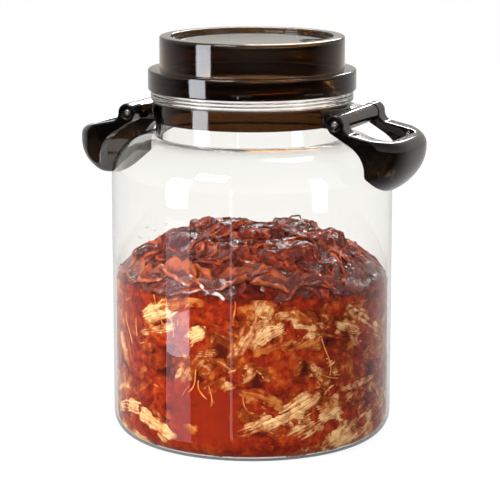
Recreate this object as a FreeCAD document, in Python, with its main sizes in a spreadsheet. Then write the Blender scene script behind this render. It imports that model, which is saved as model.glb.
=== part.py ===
import FreeCAD, Part

import math
import os

import Sketcher
from FreeCAD import Placement, Rotation, Vector

# A clear blown jar for fermenting vegetables, with a smoke-brown screw lid and two bail handles.
# Frame: millimetres, +Z up, origin at the centre of the base, handles at +X and -X.

DIMENSIONS = [
    ("body_diameter", "180", "outside of the jar's straight wall"),
    ("jar_wall", "1.5", "blown wall"),
    ("foot_round", "14.5", "outside radius of the corner at the base"),
    ("foot_width", "15", "flat ring that the jar stands on"),
    ("push_up", "6", "height of the dome under the base"),
    ("shoulder_height", "168.3", "base to the start of the shoulder"),
    ("shoulder_shelf", "2.6", "flat ring between the shoulder's round and the neck"),
    ("neck_diameter", "121.2", "outside of the neck under the collar"),
    ("ledge_rise", "10", "shoulder top to the ledge that carries the collar"),
    ("ledge_width", "0.9", "how far the ledge stands out from the neck"),
    ("neck_wall", "1.8", "wall of the neck under the collar"),
    ("bead_width", "4", "how far the neck bead stands out"),
    ("bead_height", "6.4", "height of the neck bead"),
    ("finish_width", "1.4", "how far the threaded stretch of the mouth stands out from the neck"),
    ("finish_rise", "10.4", "bead top to the rim"),
    ("collar_wall", "2.2", "wall of the handle collar"),
    ("collar_height", "12.6", "height of the handle collar"),
    ("collar_play", "0.15", "radial and top clearance of the collar on the neck"),
    ("barrel_diameter", "11.4", "hinge barrel on the collar"),
    ("barrel_length", "52", "length of each hinge barrel"),
    ("web_height", "7.6", "height of the web between ring and barrel"),
    ("hinge_gap", "6.05", "least distance from the collar's ring to the hinge axis"),
    ("hinge_inset", "19.6", "how far the hinge axis may lie inside the jar's straight wall"),
    ("pivot_rise", "4.5", "collar ledge to the hinge axis"),
    ("pin_diameter", "4", "steel hinge pin"),
    ("pin_inset", "0.9", "how far each pin end lies inside the handle's face"),
    ("pin_dimple", "0.8", "depth of the centre mark in each pin end"),
    ("pin_seat", "0.02", "radial clearance of the pin in the barrel"),
    ("pin_play", "0.06", "radial clearance of the pin in a handle's eye"),
    ("eye_diameter", "12", "boss of the handle round its pin"),
    ("arm_width", "12", "width of each handle arm along the pin"),
    ("side_play", "0.4", "gap between the barrel's end and the arm"),
    ("sink_diameter", "6.6", "recess round each pin end"),
    ("sink_depth", "1.6", "depth of that recess"),
    ("arm_drop", "3.4", "hinge axis to the arm's top face, square to it"),
    ("arm_slope", "12", "degrees that the arm's top face falls outwards"),
    ("arm_belly", "31", "degrees that the arm's under face falls outwards"),
    ("arm_fillet", "5.5", "radius between the eye and the arm's top face"),
    ("grip_reach", "41.5", "hinge axis to the outermost part of the grip"),
    ("grip_bow", "5.5", "how far the grip's middle stands out past its corners"),
    ("grip_round", "7", "radius over the top of the grip"),
    ("grip_drop", "1", "upright stretch of the grip's outer face at its middle"),
    ("corner_drop", "3", "the same stretch at the grip's corners"),
    ("edge_drop", "9.5", "the same stretch at the grip's ends"),
    ("grip_hook", "28", "radius of the grip's outer face at its middle, where it hooks inwards"),
    ("corner_hook", "20", "the same radius at the grip's corners"),
    ("edge_hook", "9", "the same radius at the grip's ends"),
    ("grip_turn", "62", "degrees that the grip hooks back past upright"),
    ("grip_lip", "2.6", "radius of the grip's edge"),
    ("grip_corner", "8", "width over which the grip's ends round off"),
    ("hole_reach", "33", "hinge axis to the finger hole's outer face"),
    ("hole_tilt", "25", "degrees that the finger hole leans outwards at its top"),
    ("hole_round", "6", "radius in the corners of the finger hole"),
    ("thread_gap", "2.5", "radial room for the threads between the mouth and the skirt"),
    ("skirt_wall", "1.8", "wall of the lid's skirt"),
    ("lid_gap", "0.3", "neck bead to the skirt's lower edge"),
    ("lid_plate", "1.8", "thickness of the lid's plate over the rim"),
    ("skirt_chamfer", "1.2", "bevel on the skirt's lower edge"),
    ("flange_round", "1", "radius of the flange's top edge"),
    ("tier_inset", "7.4", "flange's outside to the raised tier's outside"),
    ("tier_rise", "20.8", "flange top to the lid's top"),
    ("tier_wall", "2", "wall of the raised tier"),
    ("tier_round", "1.4", "radius of the raised tier's top edge"),
    ("tier_rim", "7.3", "width of the rim round the recess in the lid's top"),
    ("recess_depth", "2.8", "depth of that recess"),
    ("gasket_height", "1", "thickness of the seal under the plate"),
    ("gasket_play", "0.3", "gap between the seal and the skirt"),
    ("vent_inset", "13", "edge of the recess to the vent's axis"),
    ("vent_angle", "15", "degrees from the right handle round to the vent"),
    ("vent_diameter", "16.8", "seat of the vent plug"),
    ("vent_depth", "0.9", "depth of the vent plug's seat"),
    ("vent_bore", "6", "hole for the vent plug's stem"),
    ("vent_foot", "1", "how far the vent plug's foot stands out and down"),
    ("vent_play", "0.1", "radial clearance of the vent plug's head"),
    ("fill_height", "102", "height of the contents at the wall"),
    ("fill_mound", "30", "how far the contents rise at the middle"),
    ("fill_brow", "53", "radius of the mound where it leaves the wall"),
    ("lump_height", "4", "half height of the lumps on the mound"),
    ("fill_play", "0.3", "gap between the contents and the wall"),
]

SKETCH_PLANES = {"side": "XZ_Plane", "plan": "XY_Plane", "front": "YZ_Plane"}

# Heights and radii that follow from the sheet, as expressions.
BODY_RADIUS = "Dims.body_diameter / 2"
INNER_RADIUS = "(Dims.body_diameter / 2 - Dims.jar_wall)"
NECK_RADIUS = "Dims.neck_diameter / 2"
BORE_RADIUS = "(Dims.neck_diameter / 2 - Dims.neck_wall)"
FINISH_RADIUS = "(Dims.neck_diameter / 2 + Dims.finish_width)"
LEDGE_RADIUS = "(Dims.neck_diameter / 2 + Dims.ledge_width)"
SHOULDER_ROUND = f"({BODY_RADIUS} - {LEDGE_RADIUS} - Dims.shoulder_shelf)"
SHOULDER_TOP = f"(Dims.shoulder_height + {SHOULDER_ROUND})"
LEDGE_TOP = f"({SHOULDER_TOP} + Dims.ledge_rise)"
COLLAR_TOP = f"({LEDGE_TOP} + Dims.collar_height)"
BEAD_BASE = f"({COLLAR_TOP} + Dims.collar_play)"
BEAD_TOP = f"({BEAD_BASE} + Dims.bead_height)"
BEAD_RADIUS = f"({NECK_RADIUS} + Dims.bead_width)"
RIM_TOP = f"({BEAD_TOP} + Dims.finish_rise)"
GASKET_TOP = f"({RIM_TOP} + Dims.gasket_height)"
FLANGE_TOP = f"({GASKET_TOP} + Dims.lid_plate)"
LID_TOP = f"({FLANGE_TOP} + Dims.tier_rise)"
RECESS_FLOOR = f"({LID_TOP} - Dims.recess_depth)"
PIVOT_HEIGHT = f"({LEDGE_TOP} + Dims.pivot_rise)"
COLLAR_BORE = f"({NECK_RADIUS} + Dims.collar_play)"
COLLAR_RADIUS = f"({COLLAR_BORE} + Dims.collar_wall)"
BARREL_RADIUS = "Dims.barrel_diameter / 2"
PIVOT_REACH = f"max({COLLAR_RADIUS} + Dims.hinge_gap; {BODY_RADIUS} - Dims.hinge_inset)"
ARM_START = "(Dims.barrel_length / 2 + Dims.side_play)"
ARM_END = f"({ARM_START} + Dims.arm_width)"
SKIRT_INSIDE = f"({FINISH_RADIUS} + Dims.thread_gap)"
FLANGE_RADIUS = f"({SKIRT_INSIDE} + Dims.skirt_wall)"
SKIRT_BASE = f"({BEAD_TOP} + Dims.lid_gap)"
TIER_RADIUS = f"({FLANGE_RADIUS} - Dims.tier_inset)"
RECESS_RADIUS = f"({TIER_RADIUS} - Dims.tier_rim)"
VENT_OFFSET = f"({RECESS_RADIUS} - Dims.vent_inset)"
VENT_CENTRE = (f"{VENT_OFFSET} * cos(Dims.vent_angle)", f"{VENT_OFFSET} * sin(Dims.vent_angle)")
VENT_RADIUS = "Dims.vent_diameter / 2"
BROW_REACH = 0.7
BROW_RISE = 0.66
LUMP_LENGTH = 0.26
LUMP_WIDTH = 0.15
LUMPS = [
    (285, 0.1, 20),
    (10, 0.48, 70),
    (75, 0.52, 140),
    (140, 0.46, 30),
    (205, 0.52, 95),
    (265, 0.46, 160),
    (322, 0.5, 45),
]
EYE_RADIUS = "(Dims.eye_diameter / 2)"
PIN_RADIUS = "(Dims.pin_diameter / 2)"


def fill_sheet(document):
    """Write the driving dimensions into a spreadsheet, one alias a row."""
    sheet = document.addObject("Spreadsheet::Sheet", "Dims")
    for row, (alias, value, meaning) in enumerate(DIMENSIONS, start=1):
        sheet.set(f"A{row}", alias)
        sheet.set(f"B{row}", value)
        sheet.set(f"C{row}", meaning)
        sheet.setAlias(f"B{row}", alias)
    document.recompute()


def new_body(document, label):
    """Add an empty body with its own label."""
    body = document.addObject("PartDesign::Body", label)
    body.Label = label
    return body


def new_sketch(body, name, plane, offset=None):
    """Add a sketch on one of the body's own planes, moved along the plane's normal by an expression."""
    sketch = body.newObject("Sketcher::SketchObject", name)
    role = SKETCH_PLANES[plane]
    support = next(item for item in body.Origin.OriginFeatures if item.Role == role)
    sketch.AttachmentSupport = [(support, "")]
    sketch.MapMode = "FlatFace"
    if offset is not None:
        sketch.setExpression("AttachmentOffset.Base.z", offset)
    return sketch


def number(sketch, expression):
    """Give the value that an expression has now."""
    value = sketch.evalExpression(expression)
    return float(getattr(value, "Value", value))


def pin_point(sketch, edge, end, corner):
    """Tie one end of an edge to its corner's two expressions."""
    for kind, axis, expression in (("DistanceX", -2, corner[0]), ("DistanceY", -1, corner[1])):
        if expression == "0":
            sketch.addConstraint(Sketcher.Constraint("PointOnObject", edge, end, axis))
            continue
        value = number(sketch, expression)
        index = sketch.addConstraint(Sketcher.Constraint(kind, -1, 1, edge, end, value))
        sketch.setExpression(f"Constraints[{index}]", expression)


def arc_between(start, end, radius, turn):
    """Make the short arc from start to end; turn is 1 for a left-hand bend and -1 for a right-hand one."""
    chord = end - start
    middle = (start + end) * 0.5
    rise = math.sqrt(max(radius * radius - chord.Length**2 / 4, 0))
    normal = Vector(-chord.y, chord.x, 0).normalize()
    centre = middle + normal * rise * turn
    first, last = (start, end) if turn > 0 else (end, start)
    begin = math.atan2(first.y - centre.y, first.x - centre.x)
    finish = math.atan2(last.y - centre.y, last.x - centre.x)
    if finish < begin:
        finish += 2 * math.pi
    return Part.ArcOfCircle(Part.Circle(centre, Vector(0, 0, 1), radius), begin, finish)


def draw_outline(sketch, corners):
    """Draw a closed outline. A corner is (x, y), or (x, y, radius, turn) where an arc leads to it."""
    points = [Vector(number(sketch, corner[0]), number(sketch, corner[1]), 0) for corner in corners]
    edges = []
    for index, corner in enumerate(corners):
        start, end = points[index - 1], points[index]
        if len(corner) == 2:
            edges.append((sketch.addGeometry(Part.LineSegment(start, end)), 1, 2))
            continue
        radius, turn = number(sketch, corner[2]), corner[3]
        edge = sketch.addGeometry(arc_between(start, end, radius, turn))
        edges.append((edge, 1, 2) if turn > 0 else (edge, 2, 1))
        tie = sketch.addConstraint(Sketcher.Constraint("Radius", edge, radius))
        sketch.setExpression(f"Constraints[{tie}]", corner[2])
    for index, (edge, _, end) in enumerate(edges):
        following, start, _ = edges[(index + 1) % len(edges)]
        sketch.addConstraint(Sketcher.Constraint("Coincident", edge, end, following, start))
        pin_point(sketch, edge, end, corners[index])
    return sketch


def draw_circle(sketch, x, y, radius):
    """Draw a circle whose centre and radius follow expressions."""
    centre = Vector(number(sketch, x), number(sketch, y), 0)
    size = number(sketch, radius)
    edge = sketch.addGeometry(Part.Circle(centre, Vector(0, 0, 1), size))
    pin_point(sketch, edge, 3, (x, y))
    tie = sketch.addConstraint(Sketcher.Constraint("Radius", edge, size))
    sketch.setExpression(f"Constraints[{tie}]", radius)
    return sketch


def revolve(body, sketch, name, kind="Revolution"):
    """Turn a sketch a full circle about its own vertical axis, to add or to cut."""
    feature = body.newObject(f"PartDesign::{kind}", name)
    feature.Profile = sketch
    feature.ReferenceAxis = (sketch, ["V_Axis"])
    feature.Angle = 360
    return feature


def pad_both_ways(body, sketch, name, length):
    """Pad a sketch by an expression, half to each side of its plane."""
    feature = body.newObject("PartDesign::Pad", name)
    feature.Profile = sketch
    feature.SideType = "Symmetric"
    feature.setExpression("Length", length)
    return feature


def cut_through(body, sketch, name):
    """Cut a sketch right through the body, to both sides of its plane, and prove that it cut."""
    body.Document.recompute()
    before = body.Shape.Volume
    feature = body.newObject("PartDesign::Pocket", name)
    feature.Profile = sketch
    feature.SideType = "Symmetric"
    feature.Type = "ThroughAll"
    prove_cut(body, before, name)
    return feature


def prove_cut(body, before, name):
    """Stop if a cutting feature took nothing away."""
    body.Document.recompute()
    if body.Shape.Volume > before - 0.01:
        raise RuntimeError(f"{name} cut nothing")


def polar(centre, radius, angle):
    """Give the expressions of the point at an angle, in degrees, on a circle."""
    return (f"({centre[0]} + ({radius}) * cos({angle}))", f"({centre[1]} + ({radius}) * sin({angle}))")


def make_jar_body(document):
    """The jar: one blown wall from the pushed-up base to the rim."""
    body = new_body(document, "jar_body")
    foot_inside = f"({BODY_RADIUS} - Dims.foot_round - Dims.foot_width)"
    dome = f"(({foot_inside})^2 / (2 * Dims.push_up) + Dims.push_up / 2)"
    arc_centre = f"({BODY_RADIUS} - {SHOULDER_ROUND})"
    inner_turn = f"({SHOULDER_ROUND} - Dims.jar_wall)"
    throat_foot = f"(Dims.shoulder_height + {inner_turn})"
    corners = [
        ("0", "Dims.push_up"),
        (foot_inside, "0", dome, -1),
        (f"({BODY_RADIUS} - Dims.foot_round)", "0"),
        (BODY_RADIUS, "Dims.foot_round", "Dims.foot_round", 1),
        (BODY_RADIUS, "Dims.shoulder_height"),
        (arc_centre, SHOULDER_TOP, SHOULDER_ROUND, 1),
        (LEDGE_RADIUS, SHOULDER_TOP),
        (LEDGE_RADIUS, LEDGE_TOP),
        (NECK_RADIUS, LEDGE_TOP),
        (NECK_RADIUS, BEAD_BASE),
        (BEAD_RADIUS, BEAD_BASE),
        (BEAD_RADIUS, BEAD_TOP),
        (FINISH_RADIUS, BEAD_TOP),
        (FINISH_RADIUS, RIM_TOP),
        (BORE_RADIUS, RIM_TOP),
        (BORE_RADIUS, throat_foot),
        (arc_centre, throat_foot),
        (INNER_RADIUS, "Dims.shoulder_height", inner_turn, -1),
        (INNER_RADIUS, "Dims.foot_round"),
        (f"({BODY_RADIUS} - Dims.foot_round)", "Dims.jar_wall", "(Dims.foot_round - Dims.jar_wall)", -1),
        (foot_inside, "Dims.jar_wall"),
        ("0", "(Dims.push_up + Dims.jar_wall)", dome, 1),
    ]
    section = draw_outline(new_sketch(body, "JarSection", "side"), corners)
    revolve(body, section, "JarWall")
    return body


def make_handle_collar(document):
    """The collar: a ring on the neck's ledge with a webbed hinge barrel on each side."""
    body = new_body(document, "handle_collar")
    ring = new_sketch(body, "RingSection", "side")
    draw_outline(ring, [
        ("0", LEDGE_TOP),
        (COLLAR_RADIUS, LEDGE_TOP),
        (COLLAR_RADIUS, COLLAR_TOP),
        ("0", COLLAR_TOP),
    ])
    revolve(body, ring, "Ring")
    web = new_sketch(body, "WebSection", "side")
    draw_outline(web, [
        (f"({NECK_RADIUS} - Dims.collar_wall)", LEDGE_TOP),
        (PIVOT_REACH, LEDGE_TOP),
        (PIVOT_REACH, f"({LEDGE_TOP} + Dims.web_height)"),
        (f"({NECK_RADIUS} - Dims.collar_wall)", f"({COLLAR_TOP} - Dims.collar_wall)"),
    ])
    webbing = pad_both_ways(body, web, "Web", "Dims.barrel_length")
    barrel = draw_circle(new_sketch(body, "BarrelSection", "side"), PIVOT_REACH, PIVOT_HEIGHT, BARREL_RADIUS)
    drum = pad_both_ways(body, barrel, "Barrel", "Dims.barrel_length")
    document.recompute()
    mirror = body.newObject("PartDesign::Mirrored", "OtherSide")
    mirror.Originals = [webbing, drum]
    plane = next(item for item in body.Origin.OriginFeatures if item.Role == "YZ_Plane")
    mirror.MirrorPlane = (plane, [""])
    body.Tip = mirror
    cut_through(body, draw_circle(new_sketch(body, "NeckCircle", "plan"), "0", "0", COLLAR_BORE), "NeckBore")
    pins = new_sketch(body, "PinCircles", "side")
    seat = f"({PIN_RADIUS} + Dims.pin_seat)"
    draw_circle(pins, PIVOT_REACH, PIVOT_HEIGHT, seat)
    draw_circle(pins, f"-{PIVOT_REACH}", PIVOT_HEIGHT, seat)
    cut_through(body, pins, "PinBores")
    return body


def place_at_hinge(body, side):
    """Put a body made round its own hinge axis at the right (1) or left (-1) hinge."""
    body.Placement.Rotation = Rotation(Vector(0, 0, 1), 0 if side > 0 else 180)
    body.setExpression("Placement.Base.x", f"{side} * {PIVOT_REACH}")
    body.setExpression("Placement.Base.z", PIVOT_HEIGHT)
    return body


def make_pin(document, label, side):
    """A long steel hinge pin with a centre mark in each end."""
    body = new_body(document, label)
    reach = f"({ARM_END} - Dims.pin_inset)"
    section = draw_outline(new_sketch(body, label + "_section", "plan"), [
        ("0", f"(Dims.pin_dimple - {reach})"),
        ("Dims.pin_dimple", f"-{reach}"),
        (PIN_RADIUS, f"-{reach}"),
        (PIN_RADIUS, reach),
        ("Dims.pin_dimple", reach),
        ("0", f"({reach} - Dims.pin_dimple)"),
    ])
    revolve(body, section, label + "_turned")
    return place_at_hinge(body, side)


def grip_corners(reach, drop, hook):
    """Give the handle's side outline, as arcs and tangents from the eye to the hooked grip."""
    slope = ("sin(Dims.arm_slope)", "cos(Dims.arm_slope)")
    rise = "(Dims.arm_fillet - Dims.arm_drop)"
    run = f"sqrt(({EYE_RADIUS} + Dims.arm_fillet)^2 - {rise}^2)"
    fillet = (f"({rise} * {slope[0]} + {run} * {slope[1]})", f"({rise} * {slope[1]} - {run} * {slope[0]})")
    share = f"({EYE_RADIUS} / ({EYE_RADIUS} + Dims.arm_fillet))"
    crown_x = f"({reach} - Dims.grip_round)"
    crown = (crown_x, f"((-Dims.grip_round - Dims.arm_drop - {crown_x} * {slope[0]}) / {slope[1]})")
    heel = (f"({reach} - {hook})", f"({crown[1]} - {drop})")
    lip = polar(heel, f"{hook} - Dims.grip_lip", "-Dims.grip_turn")
    lip_end = polar(lip, "Dims.grip_lip", "240 - Dims.grip_turn")
    belly = ("sin(Dims.arm_belly)", "cos(Dims.arm_belly)")
    depth = f"(-{EYE_RADIUS} - ({lip_end[0]} * {belly[0]} + {lip_end[1]} * {belly[1]}))"
    palm_round = f"({depth} / (1 - cos(Dims.grip_turn + 30 - Dims.arm_belly)))"
    palm = polar(lip_end, f"-({palm_round})", "60 - Dims.grip_turn")
    return [
        polar(("0", "0"), EYE_RADIUS, "270 - Dims.arm_belly"),
        polar(palm, palm_round, "90 - Dims.arm_belly"),
        lip_end + (palm_round, -1),
        polar(heel, hook, "-Dims.grip_turn") + ("Dims.grip_lip", 1),
        (reach, heel[1], hook, 1),
        (reach, crown[1]),
        polar(crown, "Dims.grip_round", "90 - Dims.arm_slope") + ("Dims.grip_round", 1),
        (f"({fillet[0]} - Dims.arm_fillet * {slope[0]})", f"({fillet[1]} - Dims.arm_fillet * {slope[1]})"),
        (f"({fillet[0]} * {share})", f"({fillet[1]} * {share})", "Dims.arm_fillet", -1),
        ("0", EYE_RADIUS, EYE_RADIUS, 1),
        (f"-{EYE_RADIUS}", "0", EYE_RADIUS, 1),
    ]


def make_handle(document, label, side):
    """A bail handle: S-curved arms and a bowed, hooked grip, lofted in one and then pierced."""
    body = new_body(document, label)
    corner_reach = "(Dims.grip_reach - Dims.grip_bow)"
    edge = (f"({corner_reach} - Dims.grip_corner)", "Dims.edge_drop", "Dims.edge_hook")
    corner = (corner_reach, "Dims.corner_drop", "Dims.corner_hook")
    stations = [
        (ARM_END, edge),
        (f"({ARM_END} - Dims.grip_corner)", corner),
        ("0", ("Dims.grip_reach", "Dims.grip_drop", "Dims.grip_hook")),
        (f"(Dims.grip_corner - {ARM_END})", corner),
        (f"-{ARM_END}", edge),
    ]
    sections = []
    for index, (offset, (reach, drop, hook)) in enumerate(stations):
        sketch = new_sketch(body, f"{label}_section_{index}", "side", offset)
        sections.append(draw_outline(sketch, grip_corners(reach, drop, hook)))
    loft = body.newObject("PartDesign::AdditiveLoft", label + "_form")
    loft.Profile = sections[0]
    loft.Sections = sections[1:]
    hole = new_sketch(body, label + "_hole_outline", "plan")
    hole.AttachmentOffset = Placement(Vector(), Rotation(Vector(0, 1, 0), 1))
    hole.setExpression("AttachmentOffset.Rotation.Angle", "Dims.hole_tilt")
    inside = "(Dims.hole_reach - Dims.hole_round)"
    side_inside = f"({ARM_START} - Dims.hole_round)"
    draw_outline(hole, [
        ("-Dims.eye_diameter", f"-{ARM_START}"),
        (inside, f"-{ARM_START}"),
        ("Dims.hole_reach", f"-{side_inside}", "Dims.hole_round", 1),
        ("Dims.hole_reach", side_inside),
        (inside, ARM_START, "Dims.hole_round", 1),
        ("-Dims.eye_diameter", ARM_START),
    ])
    cut_through(body, hole, label + "_finger_hole")
    before = body.Shape.Volume
    eye = f"({PIN_RADIUS} + Dims.pin_play)"
    sink = "Dims.sink_diameter / 2"
    sink_floor = f"({ARM_END} - Dims.sink_depth)"
    past = f"({ARM_END} + Dims.sink_depth)"
    bore = draw_outline(new_sketch(body, label + "_bore_section", "plan"), [
        ("0", f"-{past}"),
        (sink, f"-{past}"),
        (sink, f"-{sink_floor}"),
        (eye, f"-{sink_floor}"),
        (eye, sink_floor),
        (sink, sink_floor),
        (sink, past),
        ("0", past),
    ])
    revolve(body, bore, label + "_eyes", "Groove")
    prove_cut(body, before, label + "_eyes")
    return place_at_hinge(body, side)


def make_lid(document):
    """The screw lid: flange and skirt, raised tier and recessed top, all one wall."""
    body = new_body(document, "lid")
    section = draw_outline(new_sketch(body, "LidSection", "side"), [
        (SKIRT_INSIDE, SKIRT_BASE),
        (f"({FLANGE_RADIUS} - Dims.skirt_chamfer)", SKIRT_BASE),
        (FLANGE_RADIUS, f"({SKIRT_BASE} + Dims.skirt_chamfer)"),
        (FLANGE_RADIUS, f"({FLANGE_TOP} - Dims.flange_round)"),
        (f"({FLANGE_RADIUS} - Dims.flange_round)", FLANGE_TOP, "Dims.flange_round", 1),
        (TIER_RADIUS, FLANGE_TOP),
        (TIER_RADIUS, f"({LID_TOP} - Dims.tier_round)"),
        (f"({TIER_RADIUS} - Dims.tier_round)", LID_TOP, "Dims.tier_round", 1),
        (RECESS_RADIUS, LID_TOP),
        (RECESS_RADIUS, RECESS_FLOOR),
        ("0", RECESS_FLOOR),
        ("0", f"({RECESS_FLOOR} - Dims.tier_wall)"),
        (f"({RECESS_RADIUS} + Dims.tier_wall)", f"({RECESS_FLOOR} - Dims.tier_wall)"),
        (f"({RECESS_RADIUS} + Dims.tier_wall)", f"({LID_TOP} - Dims.tier_wall)"),
        (f"({TIER_RADIUS} - Dims.tier_wall)", f"({LID_TOP} - Dims.tier_wall)"),
        (f"({TIER_RADIUS} - Dims.tier_wall)", GASKET_TOP),
        (SKIRT_INSIDE, GASKET_TOP),
    ])
    revolve(body, section, "LidWall")
    document.recompute()
    before = body.Shape.Volume
    seat = draw_circle(new_sketch(body, "VentSeatCircle", "plan", RECESS_FLOOR), *VENT_CENTRE, VENT_RADIUS)
    pocket = body.newObject("PartDesign::Pocket", "VentSeat")
    pocket.Profile = seat
    pocket.setExpression("Length", "Dims.vent_depth")
    prove_cut(body, before, "VentSeat")
    hole = draw_circle(new_sketch(body, "VentBoreCircle", "plan"), *VENT_CENTRE, "Dims.vent_bore / 2")
    cut_through(body, hole, "VentBore")
    return body


def make_gasket(document):
    """The flat seal that the lid presses on the rim."""
    body = new_body(document, "lid_gasket")
    section = draw_outline(new_sketch(body, "SealSection", "side"), [
        (f"({BORE_RADIUS} + Dims.gasket_play)", RIM_TOP),
        (f"({SKIRT_INSIDE} - Dims.gasket_play)", RIM_TOP),
        (f"({SKIRT_INSIDE} - Dims.gasket_play)", GASKET_TOP),
        (f"({BORE_RADIUS} + Dims.gasket_play)", GASKET_TOP),
    ])
    revolve(body, section, "Seal")
    return body


def make_vent_valve(document):
    """A soft one-way vent: a flush head in the lid's seat, a stem, and a foot that snaps under the plate."""
    body = new_body(document, "vent_valve")
    head = f"({VENT_RADIUS} - Dims.vent_play)"
    stem = "(Dims.vent_bore / 2 - Dims.vent_play)"
    foot = f"({stem} + Dims.vent_foot)"
    section = draw_outline(new_sketch(body, "VentSection", "side"), [
        ("0", "-(Dims.tier_wall + Dims.vent_foot)"),
        (stem, "-(Dims.tier_wall + Dims.vent_foot)"),
        (foot, "-Dims.tier_wall"),
        (stem, "-Dims.tier_wall"),
        (stem, "-Dims.vent_depth"),
        (head, "-Dims.vent_depth"),
        (head, "0"),
        ("0", "0"),
    ])
    revolve(body, section, "VentTurned")
    body.setExpression("Placement.Base.x", VENT_CENTRE[0])
    body.setExpression("Placement.Base.y", VENT_CENTRE[1])
    body.setExpression("Placement.Base.z", RECESS_FLOOR)
    return body


def make_kimchi(document):
    """The contents: a packed bed that follows the jar's inside, with a lumpy mound on top."""
    core = new_body(document, "kimchi_core")
    wall = f"({INNER_RADIUS} - Dims.fill_play)"
    foot_inside = f"({BODY_RADIUS} - Dims.foot_round - Dims.foot_width)"
    dome = f"(({foot_inside})^2 / (2 * Dims.push_up) + Dims.push_up / 2)"
    floor = "(Dims.jar_wall + Dims.fill_play)"
    corner = "(Dims.foot_round - Dims.jar_wall - Dims.fill_play)"
    brow = f"({wall} * {BROW_REACH})"
    rise = f"(Dims.fill_mound * {1 - BROW_RISE})"
    crown = f"({brow}^2 / (2 * {rise}) + {rise} / 2)"
    section = draw_outline(new_sketch(core, "BedSection", "side"), [
        ("0", f"(Dims.push_up + {floor})"),
        (foot_inside, floor, dome, -1),
        (f"({BODY_RADIUS} - Dims.foot_round)", floor),
        (wall, "Dims.foot_round", corner, 1),
        (wall, "Dims.fill_height"),
        (brow, f"(Dims.fill_height + Dims.fill_mound * {BROW_RISE})", "Dims.fill_brow", 1),
        ("0", "(Dims.fill_height + Dims.fill_mound)", crown, 1),
    ])
    revolve(core, section, "Bed")
    lumps = []
    for index, (angle, share, turn) in enumerate(LUMPS):
        reach = f"{wall} * {share}"
        lump = document.addObject("Part::Ellipsoid", f"lump_{index}")
        lump.setExpression("Radius1", "Dims.lump_height")
        lump.setExpression("Radius2", f"{wall} * {LUMP_LENGTH}")
        lump.setExpression("Radius3", f"{wall} * {LUMP_WIDTH}")
        lump.Placement.Rotation = Rotation(Vector(0, 0, 1), turn)
        lump.setExpression("Placement.Base.x", f"{reach} * cos({angle})")
        lump.setExpression("Placement.Base.y", f"{reach} * sin({angle})")
        lump.setExpression(
            "Placement.Base.z",
            f"Dims.fill_height + Dims.fill_mound - ({reach})^2 / (2 * {crown})",
        )
        lumps.append(lump)
    bed = document.addObject("Part::MultiFuse", "kimchi_bed")
    bed.Label = "kimchi_bed"
    bed.Shapes = [core] + lumps
    return bed


def export(document, pieces):
    """Stop on any failed object or bad shape, then write one file for each piece."""
    document.recompute()
    for item in document.Objects:
        if "Invalid" in item.State or "Error" in item.State:
            raise RuntimeError(f"{item.Label} failed: {item.State}")
    for piece in pieces:
        if piece.Shape.isNull() or not piece.Shape.isValid() or len(piece.Shape.Solids) != 1:
            raise RuntimeError(f"{piece.Label} is not one valid solid")
    os.makedirs("parts", exist_ok=True)
    for piece in pieces:
        piece.Shape.exportStep(f"parts/{piece.Label}.step")
        box = piece.Shape.optimalBoundingBox()
        print(f"{piece.Label}: {piece.Shape.Volume / 1000:.1f} cm3, X {box.XMin:.1f} to {box.XMax:.1f},"
              f" Y {box.YMin:.1f} to {box.YMax:.1f}, Z {box.ZMin:.1f} to {box.ZMax:.1f}")


def main():
    """Build every piece, check it and write its file."""
    document = FreeCAD.newDocument("FermentationContainer")
    fill_sheet(document)
    pieces = [
        make_jar_body(document),
        make_kimchi(document),
        make_handle_collar(document),
        make_lid(document),
        make_gasket(document),
        make_vent_valve(document),
    ]
    for name, side in (("right", 1), ("left", -1)):
        pieces.append(make_pin(document, f"pin_{name}", side))
        pieces.append(make_handle(document, f"handle_{name}", side))
    export(document, pieces)


main()
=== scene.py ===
"""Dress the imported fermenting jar: clear wall, smoke-brown closure and bails, pins, kimchi.

Sizes in the classes are millimetres. Meshes and lights are in metres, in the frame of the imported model.
"""
import logging
import math
import random
from dataclasses import dataclass
from enum import Enum
from typing import Iterable, Sequence

import bpy
import numpy as np
from mathutils import Matrix, Vector, noise


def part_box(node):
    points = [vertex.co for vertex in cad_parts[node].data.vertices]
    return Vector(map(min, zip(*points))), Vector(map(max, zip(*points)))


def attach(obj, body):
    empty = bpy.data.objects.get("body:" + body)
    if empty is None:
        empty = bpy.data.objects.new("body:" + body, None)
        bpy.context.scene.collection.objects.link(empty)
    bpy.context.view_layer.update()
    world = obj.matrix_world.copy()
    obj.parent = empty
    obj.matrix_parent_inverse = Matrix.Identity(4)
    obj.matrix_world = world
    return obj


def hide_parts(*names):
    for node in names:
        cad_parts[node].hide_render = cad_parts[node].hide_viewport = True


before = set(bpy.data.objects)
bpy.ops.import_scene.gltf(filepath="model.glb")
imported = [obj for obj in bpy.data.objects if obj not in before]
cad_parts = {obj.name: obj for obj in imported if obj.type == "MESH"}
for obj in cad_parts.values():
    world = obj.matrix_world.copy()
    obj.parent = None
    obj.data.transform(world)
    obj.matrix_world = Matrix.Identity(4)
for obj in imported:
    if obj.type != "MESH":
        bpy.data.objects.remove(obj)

MM = 0.001
FRONT = -67.0
WELD = 3e-6
BED_SMOOTH = 60.0
Colour = tuple[float, float, float]
Point = tuple[float, float]
log = logging.getLogger("jar")


class Cut(Enum):
    """The kinds of cabbage piece that press against the jar's wall."""

    STEM = "stem"
    LEAF = "leaf"


class Slot(Enum):
    """The record's material slots."""

    CLEAR = "clear_pet"
    SMOKE = "smoke_plastic"
    STEEL = "pin_steel"
    SEAL = "seal_silicone"
    KIMCHI = "kimchi"


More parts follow.
